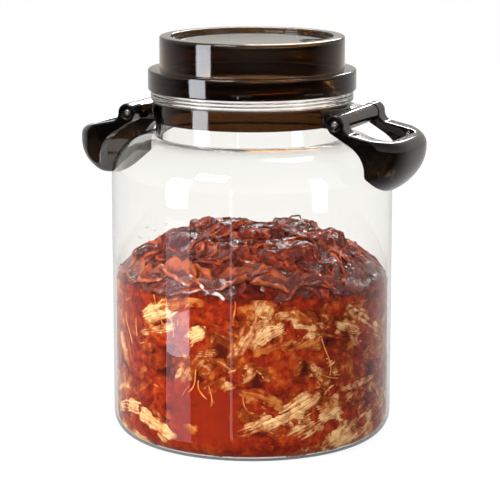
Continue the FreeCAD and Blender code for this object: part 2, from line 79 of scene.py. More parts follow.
def deselect() -> None:
    """Leave edit mode and select nothing."""
    if bpy.context.object is not None and bpy.context.object.mode != "OBJECT":
        bpy.ops.object.mode_set(mode="OBJECT")
    bpy.ops.object.select_all(action="DESELECT")


def take(piece: bpy.types.Object) -> bpy.types.Object:
    """Make one piece the only selected and active object."""
    deselect()
    piece.select_set(True)
    bpy.context.view_layer.objects.active = piece
    return piece


def apply_modifier(piece: bpy.types.Object, kind: str, **settings: object) -> None:
    """Add one modifier to a piece and apply it.

    Args:
        piece: the piece it works on.
        kind: Blender's name of the modifier.
        settings: the modifier's own settings.
    """
    take(piece)
    modifier = piece.modifiers.new(kind.title(), kind)
    for key, value in settings.items():
        setattr(modifier, key, value)
    bpy.ops.object.modifier_apply(modifier=modifier.name)


def soften_shading(piece: bpy.types.Object, angle: float = 40.0) -> None:
    """Shade a piece smooth, apart from edges sharper than an angle in degrees."""
    take(piece)
    bpy.ops.object.shade_smooth_by_angle(angle=math.radians(angle))


def arc(centre: Point, radius: float, start: float, end: float, count: int) -> list[Point]:
    """Give the points of an arc in a section.

    Args:
        centre: the arc's centre, as radius and height.
        radius: the arc's radius.
        start: the first angle in degrees.
        end: the last angle in degrees.
        count: how many runs it has.

    Returns:
        The points, first and last among them.
    """
    angles = [math.radians(start + (end - start) * step / count) for step in range(count + 1)]
    return [(centre[0] + radius * math.cos(a), centre[1] + radius * math.sin(a)) for a in angles]


def eased(corners: Sequence[tuple[float, ...]], runs: int = 3) -> list[Point]:
    """Round the corners of an open section that carry a radius.

    Args:
        corners: (radius, height) or (radius, height, round) of each corner.
        runs: how many runs a rounded corner has.

    Returns:
        The section's points.
    """
    points: list[Point] = []
    for index, corner in enumerate(corners):
        place = Vector(corner[:2])
        if len(corner) < 3 or index in (0, len(corners) - 1):
            points.append((place.x, place.y))
            continue
        back = Vector(corners[index - 1][:2]) - place
        ahead = Vector(corners[index + 1][:2]) - place
        turn = math.pi - back.angle(ahead)
        reach = min(corner[2] * math.tan(turn / 2), 0.48 * back.length, 0.48 * ahead.length)
        first = place + back.normalized() * reach
        last = place + ahead.normalized() * reach
        for step in range(runs + 1):
            share = step / runs
            spot = first * (1 - share) ** 2 + place * 2 * share * (1 - share) + last * share ** 2
            points.append((spot.x, spot.y))
    return points


def turned(name: str, section: Sequence[Point], steps: int = 128) -> bpy.types.Object:
    """Spin a section round the jar's axis into a closed piece.

    Args:
        name: the piece's name.
        section: radius and height of each point in millimetres, a loop or a run from axis to axis.
        steps: how many steps the turn has.

    Returns:
        The piece, with its faces pointing outwards.
    """
    deselect()
    bpy.ops.mesh.primitive_plane_add(size=MM)
    piece = bpy.context.object
    piece.name = name
    piece.data.name = name
    bpy.ops.object.mode_set(mode="EDIT")
    bpy.ops.mesh.select_all(action="SELECT")
    bpy.ops.mesh.merge(type="CENTER")
    bpy.ops.transform.translate(value=(section[0][0] * MM, 0, section[0][1] * MM))
    for here, there in zip(section, section[1:]):
        step = ((there[0] - here[0]) * MM, 0, (there[1] - here[1]) * MM)
        bpy.ops.mesh.extrude_region_move(TRANSFORM_OT_translate={"value": step})
    bpy.ops.mesh.select_all(action="SELECT")
    bpy.ops.mesh.spin(steps=steps, angle=math.tau, center=(0, 0, 0), axis=(0, 0, 1))
    bpy.ops.mesh.select_all(action="SELECT")
    bpy.ops.mesh.remove_doubles(threshold=WELD)
    bpy.ops.mesh.normals_make_consistent(inside=False)
    bpy.ops.object.mode_set(mode="OBJECT")
    return piece


def positions(piece: bpy.types.Object) -> np.ndarray:
    """Give a piece's points as an array of metres."""
    flat = np.zeros(len(piece.data.vertices) * 3, np.float32)
    piece.data.vertices.foreach_get("co", flat)
    return flat.reshape(-1, 3).astype(float)


def set_positions(piece: bpy.types.Object, places: np.ndarray) -> None:
    """Move a piece's points to an array of places in metres."""
    piece.data.vertices.foreach_set("co", places.astype(np.float32).ravel())
    piece.data.update()


def set_tone(piece: bpy.types.Object, values: np.ndarray | float, label: str = "tone") -> None:
    """Store one number per point for the materials to read.

    Args:
        piece: the piece that carries it.
        values: one value, or one for each point.
        label: the attribute's name.
    """
    held = piece.data.attributes.get(label) or piece.data.attributes.new(label, "FLOAT", "POINT")
    filled = np.broadcast_to(np.asarray(values, np.float32), (len(piece.data.vertices),))
    held.data.foreach_set("value", np.ascontiguousarray(filled))


def copy_placed(source: bpy.types.Object, matrix: Matrix, tone: float) -> bpy.types.Object:
    """Copy a modelled piece, with its own mesh, to another place.

    Args:
        source: the modelled piece.
        matrix: where the copy goes.
        tone: the copy's own tone.

    Returns:
        The copy.
    """
    piece = source.copy()
    piece.data = source.data.copy()
    piece.data.transform(matrix)
    bpy.context.collection.objects.link(piece)
    set_tone(piece, tone)
    return piece


def join(name: str, pieces: Iterable[bpy.types.Object]) -> bpy.types.Object:
    """Join pieces into one object of a given name."""
    pieces = list(pieces)
    deselect()
    for piece in pieces:
        piece.select_set(True)
    bpy.context.view_layer.objects.active = pieces[0]
    bpy.ops.object.join()
    pieces[0].name = name
    pieces[0].data.name = name
    return pieces[0]


def remove(pieces: Iterable[bpy.types.Object]) -> None:
    """Take helper objects out of the scene."""
    for piece in pieces:
        bpy.data.objects.remove(piece)


def noise_at(place: Sequence[float], size: float, seed: float = 0.0) -> float:
    """Give smooth noise from -1 to 1 at a place in millimetres, with features of one size."""
    return noise.noise(Vector((place[0] / size + seed, place[1] / size - seed, place[2] / size + 2 * seed)))


def layered(place: Sequence[float], layers: Iterable[Colour], start: float = 0.0) -> float:
    """Add layers of noise to a number.

    Args:
        place: where, in millimetres.
        layers: strength, size in millimetres and seed of each layer.
        start: the number they are added to.

    Returns:
        The sum.
    """
    for strength, size, seed in layers:
        start += strength * noise_at(place, size, seed)
    return start


def turn_from_front(x: float, y: float) -> float:
    """Give how far a place lies round the jar from its front, in degrees from -180 to 180."""
    return (math.degrees(math.atan2(y, x)) - FRONT + 180) % 360 - 180


def toward(turn: float) -> Vector:
    """Give the level direction that a turn from the front points in."""
    angle = math.radians(FRONT + turn)
    return Vector((math.cos(angle), math.sin(angle), 0))


def dress(piece: bpy.types.Object, material: bpy.types.Material, body: str) -> None:
    """Give a piece its material and the body that carries it."""
    piece.data.materials.clear()
    piece.data.materials.append(material)
    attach(piece, body)
    log.info("%s: %d faces on %s", piece.name, len(piece.data.polygons), body)


class Nodes:
    """A node tree, filled by short calls."""

    def __init__(self, tree: bpy.types.NodeTree) -> None:
        """Take the tree that the nodes go into."""
        self.tree = tree

    def node(self, kind: str, **inputs: object) -> bpy.types.Node:
        """Add a node; inputs are sockets or values by socket name with spaces as underscores.

        Args:
            kind: the node's type without its ShaderNode prefix.
            inputs: a value, a socket to link, or an attribute of the node.

        Returns:
            The node.
        """
        node = self.tree.nodes.new("ShaderNode" + kind)
        for key, value in inputs.items():
            self.feed(node, key, value)
        return node

    def feed(self, node: bpy.types.Node, key: str, value: object) -> None:
        """Set or link one input of a node, or one of its own settings."""
        label = key.replace("_", " ")
        if hasattr(node, key) and label not in node.inputs:
            setattr(node, key, value)
            return
        by_number = key.startswith("in") and key[2:].isdigit()
        socket = node.inputs[int(key[2:]) if by_number else label]
        if isinstance(value, bpy.types.NodeSocket):
            self.tree.links.new(value, socket)
        else:
            socket.default_value = value

    def place(self) -> bpy.types.NodeSocket:
        """Give the object coordinates."""
        return self.node("TexCoord").outputs["Object"]

    def stretched(self, source: bpy.types.NodeSocket, scale: Colour) -> bpy.types.NodeSocket:
        """Give coordinates stretched by a scale."""
        return self.node("Mapping", Vector=source, Scale=scale).outputs[0]

    def clouds(self, where: bpy.types.NodeSocket, scale: float, detail: float = 4.0,
               rough: float = 0.55) -> bpy.types.NodeSocket:
        """Give noise from 0 to 1 with a scale in features per metre."""
        made = self.node("TexNoise", Vector=where, Scale=scale, Detail=detail, Roughness=rough)
        return made.outputs[0]

    def ramp(self, factor: bpy.types.NodeSocket,
             stops: Sequence[tuple[float, Colour]]) -> bpy.types.NodeSocket:
        """Turn a number into a colour by stops of place and linear colour."""
        made = self.node("ValToRGB", Fac=factor)
        band = made.color_ramp
        while len(band.elements) < len(stops):
            band.elements.new(0.5)
        for element, (spot, colour) in zip(band.elements, stops):
            element.position = spot
            element.color = (*colour, 1.0)
        return made.outputs[0]

    def curve(self, factor: bpy.types.NodeSocket, low: float, high: float, first: object = 0.0,
              last: object = 1.0) -> bpy.types.NodeSocket:
        """Map a number from low..high to first..last, held at the ends."""
        made = self.node("MapRange", Value=factor, From_Min=low, From_Max=high, To_Min=first, To_Max=last)
        return made.outputs[0]

    def blend(self, factor: bpy.types.NodeSocket | float, one: object, two: object,
              mode: str = "MIX") -> bpy.types.NodeSocket:
        """Mix two colours by a factor."""
        made = self.tree.nodes.new("ShaderNodeMix")
        made.data_type = "RGBA"
        made.blend_type = mode
        for socket, value in ((made.inputs[0], factor), (made.inputs[6], one), (made.inputs[7], two)):
            if isinstance(value, bpy.types.NodeSocket):
                self.tree.links.new(value, socket)
            elif socket.type == "RGBA":
                socket.default_value = (*value, 1.0)
            else:
                socket.default_value = value
        return made.outputs[2]

    def math(self, kind: str, one: object, two: object = 0.0) -> bpy.types.NodeSocket:
        """Combine two numbers."""
        return self.node("Math", operation=kind, in0=one, in1=two).outputs[0]

    def bump(self, height: bpy.types.NodeSocket, strength: float, depth: float) -> bpy.types.NodeSocket:
        """Turn a height into a bumped normal; depth is in millimetres."""
        return self.node("Bump", Height=height, Strength=strength, Distance=depth * MM).outputs[0]

    def tone(self, label: str = "tone") -> bpy.types.NodeSocket:
        """Give the piece's stored number."""
        return self.node("Attribute", attribute_name=label).outputs["Fac"]

    def total(self, *shares: tuple[bpy.types.NodeSocket, float]) -> bpy.types.NodeSocket:
        """Add up several numbers, each times its own share."""
        mixed = None
        for socket, share in shares:
            part = self.math("MULTIPLY", socket, share)
            mixed = part if mixed is None else self.math("ADD", mixed, part)
        return mixed


class NodeSheet(Nodes):
    """A material's node tree round its own shader."""

    def __init__(self, name: str) -> None:
        """Start an empty material with a Principled shader."""
        self.material = bpy.data.materials.new(name)
        self.material.use_nodes = True
        super().__init__(self.material.node_tree)
        self.shader = next(n for n in self.tree.nodes if n.type == "BSDF_PRINCIPLED")

    def shade(self, **inputs: object) -> None:
        """Set or link the shader's own inputs."""
        for key, value in inputs.items():
            self.feed(self.shader, key, value)


@dataclass(frozen=True)
class ClearWall:
    """Clear blown plastic: thin, glossy, with a faint unevenness from blowing."""

    tint: Colour = (0.972, 0.97, 0.95)
    index: float = 1.4

    def material(self) -> bpy.types.Material:
        """Build the material."""
        sheet = NodeSheet("clear_blown_wall")
        drift = sheet.clouds(sheet.place(), 30.0, 2.0)
        sheet.shade(
            Base_Color=(*self.tint, 1.0),
            Roughness=0.0,
            IOR=self.index,
            Transmission_Weight=1.0,
            Normal=sheet.bump(drift, 0.012, 0.5),
        )
        return sheet.material


@dataclass(frozen=True)
class SmokePlastic:
    """Smoke-brown moulded plastic that lets light through, with a lighter warm colour painted where a
    piece's tone marks it: painted glow of light shining through.
    """

    name: str
    # thick is the plastic's own colour; thin is a painted glow, a lighter warm colour that stands in for
    # light shining through.
    thick: Colour
    thin: Colour
    clearness: float
    roughness: float = 0.05
    index: float = 1.5

    def material(self) -> bpy.types.Material:
        """Build the material."""
        sheet = NodeSheet(self.name)
        where = sheet.place()
        haze = sheet.clouds(where, 55.0, 3.0)
        scuffs = sheet.clouds(where, 900.0, 4.0, 0.6)
        cloudy = sheet.curve(haze, 0.3, 0.75, 0.75, 1.25)
        # Painted glow: the tone mixes the lighter colour into the plastic's own.
        colour = sheet.blend(sheet.tone(), self.thick, self.thin)
        sheet.shade(
            Base_Color=sheet.blend(1.0, colour, cloudy, "MULTIPLY"),
            Roughness=sheet.curve(scuffs, 0.4, 0.8, self.roughness, self.roughness + 0.05),
            IOR=self.index,
            Transmission_Weight=self.clearness,
            Normal=sheet.bump(haze, 0.04, 0.4),
        )
        return sheet.material


@dataclass(frozen=True)
class TurnedSteel:
    """Turned stainless steel of the hinge pins."""

    colour: Colour = (0.62, 0.61, 0.60)

    def material(self) -> bpy.types.Material:
        """Build the material."""
        sheet = NodeSheet("turned_steel")
        where = sheet.place()
        marks = sheet.clouds(sheet.stretched(where, (1.0, 0.15, 1.0)), 2600.0, 3.0)
        sheet.shade(
            Base_Color=sheet.ramp(marks, [(0.2, tuple(c * 0.8 for c in self.colour)), (0.8, self.colour)]),
            Metallic=1.0,
            Roughness=sheet.curve(marks, 0.2, 0.8, 0.16, 0.34),
            Normal=sheet.bump(marks, 0.1, 0.1),
        )
        return sheet.material


@dataclass(frozen=True)
class Silicone:
    """Soft moulded silicone."""

    name: str
    colour: Colour
    clearness: float = 0.2
    roughness: float = 0.32

    def material(self) -> bpy.types.Material:
        """Build the material."""
        sheet = NodeSheet(self.name)
        bloom = sheet.clouds(sheet.place(), 600.0, 4.0)
        dusty = sheet.curve(bloom, 0.3, 0.8, 0.9, 1.08)
        sheet.shade(
            Base_Color=sheet.blend(1.0, self.colour, dusty, "MULTIPLY"),
            Roughness=sheet.curve(bloom, 0.3, 0.7, self.roughness, self.roughness + 0.16),
            Transmission_Weight=self.clearness,
            Normal=sheet.bump(bloom, 0.08, 0.2),
        )
        return sheet.material


@dataclass(frozen=True)
class Sauce:
    """Chilli sauce and paste that the cabbage lies in, marbled with pulp."""

    name: str
    deep: Colour
    dark: Colour
    middle: Colour
    bright: Colour
    pulp: Colour
    gloss: float
    specular: float
    coat: float
    relief: float
    calm_level: float = 0.485

    def material(self) -> bpy.types.Material:
        """Build the material."""
        sheet = NodeSheet(self.name)
        where = sheet.place()
        pools = sheet.clouds(where, 40.0, 4.0, 0.55)
        swirl = sheet.node("TexNoise", Vector=where, Scale=58.0, Detail=9.0, Roughness=0.68,
                           Distortion=1.6).outputs[0]
        grains = sheet.clouds(where, 620.0, 4.0, 0.6)
        flakes = sheet.node("TexVoronoi", Vector=where, Scale=380.0).outputs[0]
        chips = sheet.clouds(where, 210.0, 3.0, 0.6)
        mixed = sheet.total((pools, 0.24), (swirl, 0.36), (chips, 0.3), (grains, 0.1))
        # Painted shade: the tone lowers the level, so pockets in the bed turn darker.
        level = sheet.math("SUBTRACT", mixed, sheet.math("MULTIPLY", sheet.tone(), 0.3))
        drop = sheet.math("MULTIPLY", sheet.math("SUBTRACT", level, self.calm_level), sheet.tone("calm"))
        level = sheet.math("SUBTRACT", level, drop)
        colours = (self.deep, self.dark, self.middle, self.bright, self.pulp)
        paste = sheet.ramp(level, list(zip((0.34, 0.43, 0.5, 0.57, 0.64), colours)))
        speck = sheet.curve(flakes, 0.05, 0.16, 0.6, 0.0)
        height = sheet.math("ADD", sheet.math("ADD", swirl, chips), sheet.math("MULTIPLY", grains, 0.35))
        sheet.shade(
            Base_Color=sheet.blend(speck, paste, self.dark),
            Roughness=sheet.curve(grains, 0.3, 0.8, self.gloss, self.gloss + 0.2),
            Specular_IOR_Level=self.specular,
            Coat_Weight=self.coat,
            Coat_Roughness=0.06,
            Normal=sheet.bump(height, self.relief, 1.5),
        )
        return sheet.material


@dataclass(frozen=True)
class CabbageFlesh:
    """Cabbage stem or leaf: fibres along its length, stained, with painted shade where it lies deeper in
    and at its borders.
    """

    name: str
    flesh: Colour
    fibre: Colour
    stain: Colour
    # deep is the darkest colour, reached by the stains and by the painted shade.
    deep: Colour
    fibres: float
    specular: float = 0.0
    coat: float = 0.0

    def material(self) -> bpy.types.Material:
        """Build the material."""
        sheet = NodeSheet(self.name)
        where = sheet.place()
        along = sheet.node("TexCoord").outputs["UV"]
        offset = sheet.node("CombineXYZ", Z=sheet.math("MULTIPLY", sheet.tone(), 37.0)).outputs[0]
        grain = sheet.node("VectorMath", operation="ADD", in0=along, in1=offset).outputs[0]
        stretched = sheet.stretched(grain, (3.0, self.fibres, 1.0))
        fibres = sheet.node("TexNoise", Vector=stretched, Scale=1.0, Detail=5.0, Roughness=0.62,
                            Distortion=0.5).outputs[0]
        stains = sheet.clouds(where, 95.0, 7.0, 0.66)
        chips = sheet.clouds(where, 230.0, 3.0, 0.6)
        pale = sheet.ramp(fibres, [(0.32, self.fibre), (0.54, self.flesh)])
        # wet: the real stains and chips, with the painted shade added below.
        wet = sheet.total((stains, 0.95), (chips, 0.7))
        wet = sheet.math("SUBTRACT", wet, sheet.math("ADD", sheet.math("MULTIPLY", fibres, 0.4), 0.42))
        # Painted shade: the stored shade pushes the piece towards its deep colour.
        wet = sheet.math("ADD", wet, sheet.math("MULTIPLY", sheet.tone("soak"), 0.75))
        wet = sheet.math("SUBTRACT", wet, sheet.math("MULTIPLY", sheet.tone(), 0.34))
        stained = sheet.blend(sheet.curve(wet, -0.12, 0.2), pale, self.stain)
        soaked = sheet.blend(sheet.curve(wet, 0.16, 0.5), stained, self.deep)
        height = sheet.math("ADD", fibres, sheet.math("MULTIPLY", stains, 0.5))
        sheet.shade(
            Base_Color=soaked,
            Roughness=sheet.curve(stains, 0.3, 0.8, 0.14, 0.34),
            Specular_IOR_Level=self.specular,
            Coat_Weight=self.coat,
            Coat_Roughness=0.06,
            Normal=sheet.bump(height, 0.5, 0.9),
        )
        return sheet.material


CLEAR = ClearWall()
SMOKE_WALL = SmokePlastic("smoke_closure", (0.06, 0.027, 0.007), (0.36, 0.2, 0.085), 1.0)
SMOKE_COLLAR = SmokePlastic("smoke_collar", (0.065, 0.025, 0.008), (0.11, 0.045, 0.015), 1.0)
SMOKE_BAIL = SmokePlastic("smoke_bail", (0.006, 0.004, 0.003), (0.09, 0.048, 0.024), 0.85, 0.035)
STEEL = TurnedSteel()
SEAL = Silicone("seal_silicone_ring", (0.55, 0.5, 0.44))
VENT = Silicone("vent_silicone", (0.022, 0.016, 0.013), 0.0, 0.6)
PASTE = Sauce("chilli_sauce", (0.02, 0.002, 0.001), (0.1, 0.006, 0.001), (0.22, 0.014, 0.002),
              (0.33, 0.045, 0.005), (0.44, 0.15, 0.03), 0.3, 0.0, 0.0, 0.3)
MOUND = Sauce("chilli_mound", (0.014, 0.002, 0.001), (0.08, 0.006, 0.002), (0.19, 0.015, 0.003),
              (0.33, 0.037, 0.005), (0.48, 0.1, 0.02), 0.06, 0.25, 0.12, 0.9)
STEM = CabbageFlesh("cabbage_stem", (0.74, 0.47, 0.22), (0.46, 0.18, 0.04), (0.27, 0.047, 0.005),
                    (0.08, 0.005, 0.001), 15.0)
LEAF = CabbageFlesh("cabbage_leaf", (0.46, 0.18, 0.04), (0.36, 0.085, 0.011), (0.25, 0.026, 0.003),
                    (0.08, 0.005, 0.001), 11.0)
MOUND_LEAF = CabbageFlesh("mound_leaf", (0.4, 0.066, 0.013), (0.25, 0.027, 0.005), (0.15, 0.012, 0.003),
                          (0.04, 0.004, 0.001), 14.0, 0.25, 0.12)
WET_LEAF = CabbageFlesh("wet_leaf", (0.34, 0.06, 0.006), (0.2, 0.024, 0.002), (0.1, 0.007, 0.001),
                        (0.05, 0.004, 0.001), 10.0, 0.5, 0.3)
SHRED = CabbageFlesh("radish_shred", (0.8, 0.42, 0.13), (0.68, 0.24, 0.04), (0.5, 0.09, 0.01),
                     (0.26, 0.016, 0.003), 8.0)
FLAKE = CabbageFlesh("chilli_flake", (0.5, 0.06, 0.01), (0.3, 0.02, 0.004), (0.14, 0.008, 0.003),
                     (0.02, 0.003, 0.002), 6.0)


@dataclass
class ClearJar:
    """The clear blown wall with its ribbed neck bead and threaded finish."""

    foot_inside: float = 60.5
    foot_round: float = 14.5
    push_up: float = 6.0
    wall: float = 1.5
    shoulder_round: float = 25.9
    shoulder_height: float = 168.3
    ledge: float = 61.5
    neck: float = 60.6
    ledge_top: float = 204.2
    bead_base: float = 216.95
    bead_top: float = 223.35
    bead: float = 64.6
    finish: float = 62.0
    rim: float = 233.75
    bore: float = 58.8
    ribs: int = 3
    rib_depth: float = 0.5
    lead: float = 12.0
    thread_depth: float = 1.3
    thread_sweep: float = 250.0
    steps: int = 192

    def __post_init__(self) -> None:
        """Take the body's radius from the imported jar."""
        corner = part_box("jar_body")[1]
        self.radius = min(corner.x, corner.y) / MM

    def section(self) -> list[Point]:
        """Give the wall's closed section, outside first."""
        dome = self.foot_inside ** 2 / (2 * self.push_up) + self.push_up / 2
        spread = math.degrees(math.asin(self.foot_inside / dome))
        floor_y = self.push_up - dome
        heel = (self.radius - self.foot_round, self.foot_round)
        shoulder = (self.radius - self.shoulder_round, self.shoulder_height)
        shoulder_top = self.shoulder_height + self.shoulder_round
        bead_height = self.bead_top - self.bead_base
        outside = arc((0, floor_y), dome, 90, 90 - spread, 8)
        outside += arc(heel, self.foot_round, -90, 0, 12)
        outside += [(self.radius, h)
                    for h in np.linspace(self.foot_round + 8, self.shoulder_height - 8, 16)]
        outside += arc(shoulder, self.shoulder_round, 0, 90, 16)
        outside += eased([
            (shoulder[0], shoulder_top),
            (self.ledge, shoulder_top, 0.4),
            (self.ledge, self.ledge_top, 0.3),
            (self.neck, self.ledge_top, 0.3),
            (self.neck, self.bead_base, 0.4),
            (self.bead - self.rib_depth, self.bead_base),
        ])[1:-1]
        for rib in range(self.ribs):
            for step in range(9):
                share = step / 8
                height = self.bead_base + bead_height * (rib + share) / self.ribs
                reach = self.bead - self.rib_depth * (1 - math.sin(math.pi * share) ** 0.5)
                outside.append((reach, height))
        outside += eased([
            (self.bead, self.bead_top),
            (self.finish, self.bead_top, 0.4),
            (self.finish, self.rim, 0.6),
            (self.bore, self.rim, 0.6),
            (self.bore, shoulder_top - self.wall, 1.0),
            (shoulder[0], shoulder_top - self.wall),
        ])[1:]
        inside = arc(shoulder, self.shoulder_round - self.wall, 90, 0, 16)[1:]
        inside += [(self.radius - self.wall, h)
                   for h in np.linspace(self.shoulder_height - 8, self.foot_round + 8, 16)]
        inside += arc(heel, self.foot_round - self.wall, 0, -90, 12)
        inside += arc((0, floor_y + self.wall), dome, 90 - spread, 90, 8)
        return outside + inside

    def thread(self, phase: float) -> bpy.types.Object:
        """Make one start of the screw thread.

        Args:
            phase: where the thread starts, in degrees.

        Returns:
            The ridge, three quarters of a turn long.
        """
        base = self.bead_top + 1.2
        root = self.finish - 0.2
        ridge = turned_thread(f"neck_thread_{int(phase)}", root, self.thread_depth + 0.2, base,
                              self.lead, self.thread_sweep)
        ridge.data.transform(Matrix.Rotation(math.radians(phase), 4, "Z"))
        soften_shading(ridge, 50)
        return ridge

    def build(self) -> bpy.types.Object:
        """Build the wall and its threads and hang them on the jar."""
        wall = turned("clear_jar", self.section(), self.steps)
        soften_shading(wall, 30)
        threads = [self.thread(0.0), self.thread(180.0)]
        finish = CLEAR.material()
        neck_threads = join("neck_threads", threads)
        dress(wall, finish, "jar")
        dress(neck_threads, finish, "jar")
        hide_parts("jar_body")
        wall.visible_shadow = False
        neck_threads.visible_shadow = False
        return wall


def turned_thread(name: str, root: float, depth: float, base: float, lead: float,
                  sweep: float) -> bpy.types.Object:
    """Sweep a thread's section along a helix.

    Args:
        name: the piece's name.
        root: radius of the thread's root in millimetres.
        depth: how far it stands out, negative inwards.
        base: height where it starts.
        lead: rise for a full turn.
        sweep: how far it goes round in degrees.

    Returns:
        The closed ridge.
    """
    deselect()
    bpy.ops.mesh.primitive_plane_add(size=1.0, rotation=(math.pi / 2, 0, 0))
    bpy.ops.object.transform_apply(location=True, rotation=True, scale=True)
    ridge = bpy.context.object
    ridge.name = name
    ridge.data.name = name
    corners = [(0.0, -1.1), (0.0, 1.1), (1.0, -0.35), (1.0, 0.35)]
    order = sorted(range(4), key=lambda i: (ridge.data.vertices[i].co.x, ridge.data.vertices[i].co.z))
    for index, (out, up) in zip(order, corners):
        ridge.data.vertices[index].co = Vector(((root + depth * out) * MM, 0, (base + up) * MM))
    steps = max(8, int(sweep / 4))
    apply_modifier(ridge, "SCREW", angle=math.radians(sweep), screw_offset=lead * sweep / 360 * MM,
                   steps=steps, render_steps=steps, use_normal_calculate=True)
    take(ridge)
    bpy.ops.object.mode_set(mode="EDIT")
    bpy.ops.mesh.select_all(action="SELECT")
    bpy.ops.mesh.remove_doubles(threshold=1e-6)
    bpy.ops.mesh.select_all(action="DESELECT")
    bpy.ops.mesh.select_non_manifold()
    bpy.ops.mesh.fill()
    bpy.ops.mesh.select_all(action="SELECT")
    bpy.ops.mesh.normals_make_consistent(inside=False)
    bpy.ops.object.mode_set(mode="OBJECT")
    return ridge


@dataclass
class ScrewLid:
    """The smoke-brown screw lid with its raised, recessed tier."""

    skirt_inside: float = 64.5
    skirt_base: float = 223.65
    flange: float = 66.3
    flange_top: float = 236.55
    tier: float = 58.9
    top: float = 257.35
    recess: float = 51.6
    floor: float = 254.55
    plate: float = 2.0
    gasket_top: float = 234.75
    vent: Point = (37.3, 10.0)
    vent_radius: float = 8.4
    seat: float = 1.0
    lead: float = 12.0

    def section(self) -> list[Point]:
        """Give the lid's section as a run from axis to axis, top first."""
        return eased([
            (0, self.floor),
            (self.recess, self.floor, 0.8),
            (self.recess, self.top, 0.7),
            (self.tier, self.top, 1.4),
            (self.tier, self.flange_top, 0.5),
            (self.flange, self.flange_top, 1.3),
            (self.flange, self.skirt_base, 1.2),
            (self.skirt_inside, self.skirt_base, 0.5),
            (self.skirt_inside, self.gasket_top, 0.3),
            (self.tier - self.plate, self.gasket_top, 0.5),
            (self.tier - self.plate, self.top - self.plate, 0.8),
            (self.recess + self.plate, self.top - self.plate, 0.8),
            (self.recess + self.plate, self.floor - self.plate, 0.8),
            (0, self.floor - self.plate),
        ], 5)

    def build(self) -> bpy.types.Object:
        """Build the lid with its inner threads, and the vent's head."""
        lid = turned("screw_lid", self.section(), 192)
        deselect()
        bpy.ops.mesh.primitive_cylinder_add(
            vertices=72, radius=self.vent_radius * MM, depth=self.seat * 2 * MM,
            location=(self.vent[0] * MM, self.vent[1] * MM, self.floor * MM))
        cutter = bpy.context.object
        apply_modifier(lid, "BOOLEAN", operation="DIFFERENCE", object=cutter, solver="EXACT")
        remove([cutter])
        soften_shading(lid, 32)
        threads = []
        for phase in (90.0, 270.0):
            ridge = turned_thread(f"lid_thread_{int(phase)}", self.skirt_inside + 0.2, -1.5,
                                  self.skirt_base + 1.5, self.lead, 240.0)
            ridge.data.transform(Matrix.Rotation(math.radians(phase), 4, "Z"))
            soften_shading(ridge, 50)
            threads.append(ridge)
        # Painted glow: the tier's side wall gets the lighter colour of the smoke plastic, standing in for
        # light shining through it.
        heights = positions(lid)[:, 2] / MM
        side = (heights > self.flange_top + 0.3) & (heights < self.top - 3.2)
        set_tone(lid, np.where(side, 1.0, 0.0))
        finish = SMOKE_WALL.material()
        lid_threads = join("lid_threads", threads)
        dress(lid, finish, "lid")
        dress(lid_threads, finish, "lid")
        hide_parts("lid")
        plug = self.vent_plug()
        dress(plug, VENT.material(), "lid")
        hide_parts("vent_valve")
        return lid

    def vent_plug(self) -> bpy.types.Object:
        """Make the soft vent plug with a dished head and a nipple in its middle."""
        low = self.floor - 3.0
        plug = turned("vent_plug", eased([
            (0, low),
            (2.9, low, 0.4),
            (3.9, self.floor - self.plate, 0.3),
            (2.9, self.floor - self.plate),
            (2.9, self.floor - 0.95),
            (7.9, self.floor - 0.95),
            (8.0, self.floor + 0.3, 0.4),
            (7.0, self.floor + 0.45, 0.3),
            (6.2, self.floor - 0.6, 0.5),
            (2.8, self.floor - 0.7, 0.5),
            (2.0, self.floor + 0.2, 0.5),
            (0, self.floor + 0.4),
        ]), 64)
        plug.data.transform(Matrix.Translation((self.vent[0] * MM, self.vent[1] * MM, 0)))
        soften_shading(plug, 40)
        return plug


@dataclass
class SealRing:
    """The flat silicone seal between rim and lid."""

    inner: float = 59.1
    outer: float = 64.2
    base: float = 233.75
    top: float = 234.75

    def build(self) -> bpy.types.Object:
        """Build the ring with two fine sealing lips."""
        ring = turned("seal_ring", eased([
            (self.inner, self.base),
            (self.outer, self.base, 0.25),
            (self.outer, self.top, 0.25),
            (63.2, self.top, 0.2),
            (62.8, self.top - 0.2, 0.2),
            (62.4, self.top, 0.2),
            (61.0, self.top, 0.2),
            (60.6, self.top - 0.2, 0.2),
            (60.2, self.top, 0.2),
            (self.inner, self.top, 0.25),
            (self.inner, self.base),
        ], 2), 128)
        soften_shading(ring)
        dress(ring, SEAL.material(), "seal")
        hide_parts("lid_gasket")
        return ring


